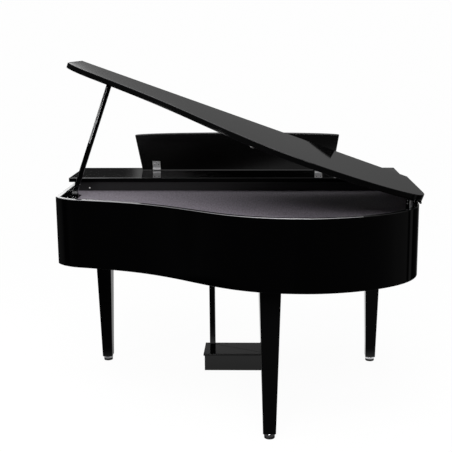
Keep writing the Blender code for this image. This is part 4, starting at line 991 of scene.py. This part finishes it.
# %% Caps and bumpers
cap = [(0.0030, 0.0), (0.0030, 0.0006), (0.0024, 0.0013), (0.0010, 0.0017), (0.0002, 0.0018)]
caps = [lathe(cap, (x, -0.0080, 0.871), "y", 24) for x in (0.636, -0.636)]
make_piece("panel_caps", together(caps), WHITE_CAP, "root")
under = LID_LOW - LID_AXIS[2]
stub = [(0.0084, under - 0.0001), (0.0084, under - 0.0050), (0.0076, under - 0.0066),
        (0.0052, under - 0.0076), (0.0006, under - 0.0079)]
bumpers = [lathe(stub, (x, y, 0.0), "z", 32) for x, y in ((0.688, 0.672), (1.385, 0.262))]
make_piece("lid_bumpers", together(bumpers), WHITE_CAP, "lid", at=LID_FRAME)

# %% [markdown]
# ## Solids that keep their shape
#
# What the CAD already has right only needs a finish: flat plates, boxes with slots, and pieces
# that the case hides.  Their meshes stay as they are, and only their material is set.

# %% Finishes on the CAD's own solids
KEPT = {
    "inner_panel": INNER_BLACK, "front_fascia": LACQUER, "pedal_box": LACQUER, "prop_cup": SATIN,
    "prop_bracket": MATT_EDGE, "treble_desk_hinge": ZINC, "bass_desk_hinge": ZINC,
    "front_hinge_rim_leaf": MATT_EDGE, "tail_hinge_rim_leaf": MATT_EDGE,
    "front_hinge_lid_leaf": MATT_EDGE, "tail_hinge_lid_leaf": MATT_EDGE, "keybed": BARE_BOARD,
    "key_frame": ALUMINIUM, "treble_speaker": SATIN, "bass_speaker": SATIN, "main_board": CIRCUIT,
    "socket_box": SATIN,
}
for name, finish in KEPT.items():
    solid = nodes[name].data
    solid.materials.clear()
    solid.materials.append(finish)
print("kept solids:", len(KEPT))

# %% [markdown]
# ## Floor, air and light
#
# The photograph stands the piano on white, yet its lacquer mirrors a mostly dark studio with soft
# lights in it.  Dozens of lamps could be set up for that, each with its own grain.  Here the floor
# and the air are white where the camera sees them, and where lacquer mirrors them they glow by
# smooth ramps: brightness against a height, a distance or a bearing.  All of it is fixed in the
# room, so it stays in place from any side.

# %% Helpers for the floor and the ramps
def new_stage(name, skin_grid, material):
    """A stage piece from an open grid: faces (i, j), (i, j+1), (i+1, j+1), (i+1, j)."""
    rows, columns = skin_grid.shape[:2]
    i, j = np.meshgrid(np.arange(rows - 1), np.arange(columns - 1), indexing="ij")
    first = i * columns + j
    quads = np.stack([first, first + 1, first + columns + 1, first + columns], -1)
    mesh = bpy.data.meshes.new(name)
    mesh.from_pydata(skin_grid.reshape(-1, 3).tolist(), [], quads.reshape(-1, 4).tolist())
    mesh.materials.append(material)
    thing = bpy.data.objects.new(name, mesh)
    bpy.context.scene.collection.objects.link(thing)
    thing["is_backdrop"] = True
    print(name, "faces:", len(mesh.polygons))


def add_ramp(tree, value, stops, scale=1.0, middle=0.0):
    """A grey ramp through (quantity, brightness) stops; value is scale * quantity + middle."""
    ramp = tree.nodes.new("ShaderNodeValToRGB")
    tree.links.new(value, ramp.inputs[0])
    stops = [(quantity * scale + middle, level) for quantity, level in stops]
    elements = ramp.color_ramp.elements
    for element, (position, level) in zip((elements[1], elements[0]), (stops[-1], stops[0])):
        element.position = position
        element.color = (level, level, level, 1.0)
    for position, level in stops[1:-1]:
        elements.new(position).color = (level, level, level, 1.0)
    return ramp.outputs[0]


def pick_by_ray(tree, mirrored, seen, kind):
    """Ends a tree: the camera gets the seen shader, and every other ray gets the mirrored one."""
    path = tree.nodes.new("ShaderNodeLightPath")
    mix = tree.nodes.new("ShaderNodeMixShader")
    tree.links.new(path.outputs["Is Camera Ray"], mix.inputs[0])
    tree.links.new(mirrored.outputs[0], mix.inputs[1])
    tree.links.new(seen.outputs[0], mix.inputs[2])
    tree.links.new(mix.outputs[0], tree.nodes.new(kind).inputs["Surface"])


print("stage helpers ready")

# %% [markdown]
# To the camera the floor is a plain pale sheet that reaches the white of the air further out.  A
# little of its light comes from a diffuse shader, which takes the faintest shadow of the piano.

# %% The floor as the camera sees it
floor_finish = bpy.data.materials.new("pale_floor")
floor_finish.use_nodes = True
tree = floor_finish.node_tree
tree.nodes.clear()
spot = tree.nodes.new("ShaderNodeTexCoord").outputs["Object"]
split = tree.nodes.new("ShaderNodeSeparateXYZ")
tree.links.new(spot, split.inputs[0])
away = tree.nodes.new("ShaderNodeVectorMath")
away.operation = "LENGTH"
tree.links.new(spot, away.inputs[0])
far_off = add_math(tree, "MULTIPLY", away.outputs["Value"], 0.25)
paper = tree.nodes.new("ShaderNodeEmission")
tree.links.new(add_ramp(tree, far_off, [(0.0, 0.955), (0.35, 0.955), (0.95, 0.99)]), paper.inputs["Strength"])
shade = tree.nodes.new("ShaderNodeBsdfDiffuse")
tree.links.new(add_ramp(tree, far_off, [(0.0, 0.05), (0.35, 0.05), (0.95, 0.0)]), shade.inputs["Color"])
seen = tree.nodes.new("ShaderNodeAddShader")
tree.links.new(paper.outputs[0], seen.inputs[0])
tree.links.new(shade.outputs[0], seen.inputs[1])
print("floor nodes so far:", len(tree.nodes))

# %% [markdown]
# What the lacquer mirrors of the floor has two zones.  Near the piano, brightness runs with Y: the
# floor on the player's side is bright, the floor towards the camera is nearly dark, and a patch
# round the lyre glows for its posts and its box.  That draws the soft grey gradients on the legs
# and on the pedal box.  The glow fades towards the treble and ends past the bass side.  Further
# off, brightness runs with the bearing about a point by the case's corner, which draws the upright
# light and dark bands where the rim turns.

# %% The floor as the lacquer mirrors it
FLOOR_NEAR = [(-4.0, 0.01), (-2.4, 0.01), (-2.0, 0.70), (-0.64, 0.80), (-0.34, 0.45), (-0.20, 0.05),
              (0.80, 0.045), (1.3, 0.055), (1.8, 0.05), (2.4, 0.015), (4.0, 0.015)]  # by Y
LYRE_GLOW = [(-4.0, 0.0), (-0.34, 0.0), (-0.20, 0.38), (0.10, 0.52), (0.22, 0.10), (0.40, 0.0),
             (4.0, 0.0)]  # by Y
FLOOR_ROUND = [(-180, 0.12), (-156, 0.12), (-148, 0.01), (-124, 0.003), (-120, 0.070), (-115.5, 0.070),
               (-112.5, 0.006), (-109.5, 0.006), (-106, 0.050), (-84, 0.055), (-67, 0.036), (-55, 0.028),
               (-33, 0.022), (0, 0.016), (55, 0.016), (74, 0.022), (80, 0.006), (89, 0.006), (96, 0.022),
               (101, 0.035), (118, 0.040), (128, 0.02), (180, 0.02)]  # by the bearing in degrees
CORNER_X, CORNER_Y = 0.69, 0.42  # about which the bearing is taken, on either side
METRES = 0.125  # turns -4 to 4 m into a ramp's 0 to 1

along_y = add_math(tree, "MULTIPLY_ADD", split.outputs["Y"], METRES, 0.5)
under = add_ramp(tree, along_y, FLOOR_NEAR, METRES, 0.5)
less_treble = add_math(tree, "MULTIPLY_ADD", split.outputs["X"], -0.8, 1.0)
along_x = add_math(tree, "MULTIPLY_ADD", split.outputs["X"], METRES, 0.5)
not_past_bass = add_ramp(tree, along_x, [(0.0, 0.0), (0.382, 0.0), (0.399, 1.0), (1.0, 1.0)])
under = add_math(tree, "MULTIPLY", under, add_math(tree, "MULTIPLY", less_treble, not_past_bass))
lyre = add_ramp(tree, along_y, LYRE_GLOW, METRES, 0.5)
off_middle = add_math(tree, "ABSOLUTE", split.outputs["X"])
lyre_width = add_ramp(tree, off_middle, [(0.0, 1.0), (0.36, 1.0), (0.46, 0.0), (1.0, 0.0)])
under = add_math(tree, "ADD", under, add_math(tree, "MULTIPLY", lyre, lyre_width))
whose_side = add_math(tree, "SIGN", split.outputs["X"])
from_corner = add_math(tree, "MULTIPLY_ADD", whose_side, -CORNER_X, split.outputs["X"])
angle = add_math(tree, "ARCTAN2", from_corner, add_math(tree, "ADD", split.outputs["Y"], -CORNER_Y))
sweep = add_math(tree, "MULTIPLY_ADD", angle, 0.5 / math.pi, 0.5)
around = add_ramp(tree, sweep, FLOOR_ROUND, 1 / 360, 0.5)
distance = add_math(tree, "MULTIPLY", away.outputs["Value"], 0.2)
beyond = add_ramp(tree, distance, [(0.0, 0.0), (0.42, 0.0), (0.54, 1.0), (1.0, 1.0)])
joined = tree.nodes.new("ShaderNodeMix")
tree.links.new(beyond, joined.inputs[0])
tree.links.new(under, joined.inputs[2])
tree.links.new(around, joined.inputs[3])
mirrored = tree.nodes.new("ShaderNodeEmission")
tree.links.new(joined.outputs[0], mirrored.inputs["Strength"])
pick_by_ray(tree, mirrored, seen, "ShaderNodeOutputMaterial")
x, y = np.meshgrid(np.linspace(-14, 14, 9), np.linspace(-14, 14, 9), indexing="ij")
new_stage("floor", np.stack([x, y, np.zeros_like(x)], -1), floor_finish)

# %% [markdown]
# The air is white to the camera.  To the piano it has three glows, all told by the direction of
# the mirrored ray.  A bright one behind the piano starts at a sharp height, which is the line that
# crosses the lid, and is strongest to the treble.  A faint one lies below that height, and a third
# lies overhead and lights what faces up.  Because they are part of the world, they give no grain.

# %% The air
BACK_GLOW = [(0.0, 0.0), (0.150, 0.0), (0.156, 0.85), (0.22, 0.80), (0.32, 0.20), (1.0, 0.30)]  # by height
BACK_ACROSS = [(-1.0, 0.1), (-0.5, 0.3), (-0.2, 0.8), (0.10, 1.2), (0.17, 2.4), (0.21, 4.6), (0.32, 4.6),
               (0.42, 0.3), (0.6, 0.06), (1.0, 0.05)]  # by the ray's X
LOW_GLOW = [(0.0, 0.125), (0.03, 0.135), (0.06, 0.15), (0.11, 0.155), (0.14, 0.20), (0.150, 0.20),
            (0.156, 0.0), (1.0, 0.0)]  # by height
LOW_ACROSS = [(-1.0, 0.3), (-0.4, 0.9), (-0.2, 1.0), (0.140, 1.0), (0.150, 0.1), (1.0, 0.1)]  # by the ray's X
TOP_GLOW = [(0.0, 0.010), (0.50, 0.015), (0.85, 0.9), (1.0, 1.4)]  # by height
AIR_WHITE = (0.99, 0.99, 0.99, 1.0)

world = bpy.data.worlds.new("studio")
bpy.context.scene.world = world
world.use_nodes = True
tree = world.node_tree
tree.nodes.clear()
white = tree.nodes.new("ShaderNodeBackground")
white.inputs["Color"].default_value = AIR_WHITE
ray = tree.nodes.new("ShaderNodeSeparateXYZ")
tree.links.new(tree.nodes.new("ShaderNodeTexCoord").outputs["Generated"], ray.inputs[0])
height = ray.outputs["Z"]
behind = add_math(tree, "MULTIPLY_ADD", ray.outputs["Y"], -1.6, 0.35, clamp=True)
breadth = add_math(tree, "MULTIPLY_ADD", ray.outputs["X"], 0.5, 0.5)
low_across = add_ramp(tree, breadth, LOW_ACROSS, 0.5, 0.5)
low = add_math(tree, "MULTIPLY", add_ramp(tree, height, LOW_GLOW), low_across)
back_across = add_ramp(tree, breadth, BACK_ACROSS, 0.5, 0.5)
back = add_math(tree, "MULTIPLY_ADD", add_ramp(tree, height, BACK_GLOW), back_across, low)
glow = add_math(tree, "ADD", add_math(tree, "MULTIPLY", back, behind), add_ramp(tree, height, TOP_GLOW))
room = tree.nodes.new("ShaderNodeBackground")
tree.links.new(glow, room.inputs["Strength"])
pick_by_ray(tree, room, white, "ShaderNodeOutputWorld")
print("world nodes:", len(tree.nodes))


# %% [markdown]
# Three soft boxes add what the glows can't.  Two large ones stand high on the camera's side and
# light the panel and the fittings, and a small one at the treble lights the prop's two pale strips,
# its painted highlights.  A sun lamp would be simpler, but its light is parallel and draws no soft edge.

# %% Soft boxes
def soft_box(name, spot, target, wide, tall, radiance):
    """An area lamp at spot, facing target; its power is radiance times pi times its area."""
    lamp = bpy.data.lights.new(name, "AREA")
    lamp.shape = "RECTANGLE"
    lamp.size, lamp.size_y = wide, tall
    lamp.energy = radiance * math.pi * wide * tall
    holder = bpy.data.objects.new(name, lamp)
    bpy.context.scene.collection.objects.link(holder)
    away = np.array(spot, float) - np.array(target, float)
    away /= np.linalg.norm(away)
    side = np.cross([0.0, 0.0, 1.0], away)
    side /= np.linalg.norm(side)
    axes = np.column_stack([side, np.cross(away, side), away])
    holder.matrix_world = Matrix([[*row, end] for row, end in zip(axes, spot)] + [[0, 0, 0, 1]])
    holder.visible_camera = False


soft_box("front_box", (0.2, 4.4, 3.5), (0.0, 0.3, 0.9), 3.0, 1.2, 12.0)
soft_box("high_box", (0.3, 2.6, 4.4), (0.0, 0.3, 0.9), 2.6, 1.4, 7.0)
soft_box("side_box", (2.3, 1.3, 1.25), (0.62, 0.17, 1.1), 0.35, 0.7, 14.0)
print("lamps:", len(bpy.data.lights))

# %% [markdown]
# ## Check the size and finish
#
# The dressed piano has to stay inside the solid one.  Both boxes are measured, and the print
# shows how far each side of the dressed box lies from the solid one's.

# %% Size note and finish
visual_box = [list(corner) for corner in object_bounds()]
apart = [[round(1000 * (b - a), 2) for a, b in zip(c, v)] for c, v in zip(cad_box, visual_box)]
print("dressed box less the solid one, in mm:", apart)
print("pieces:", len(made), "faces:", sum(made.values()))
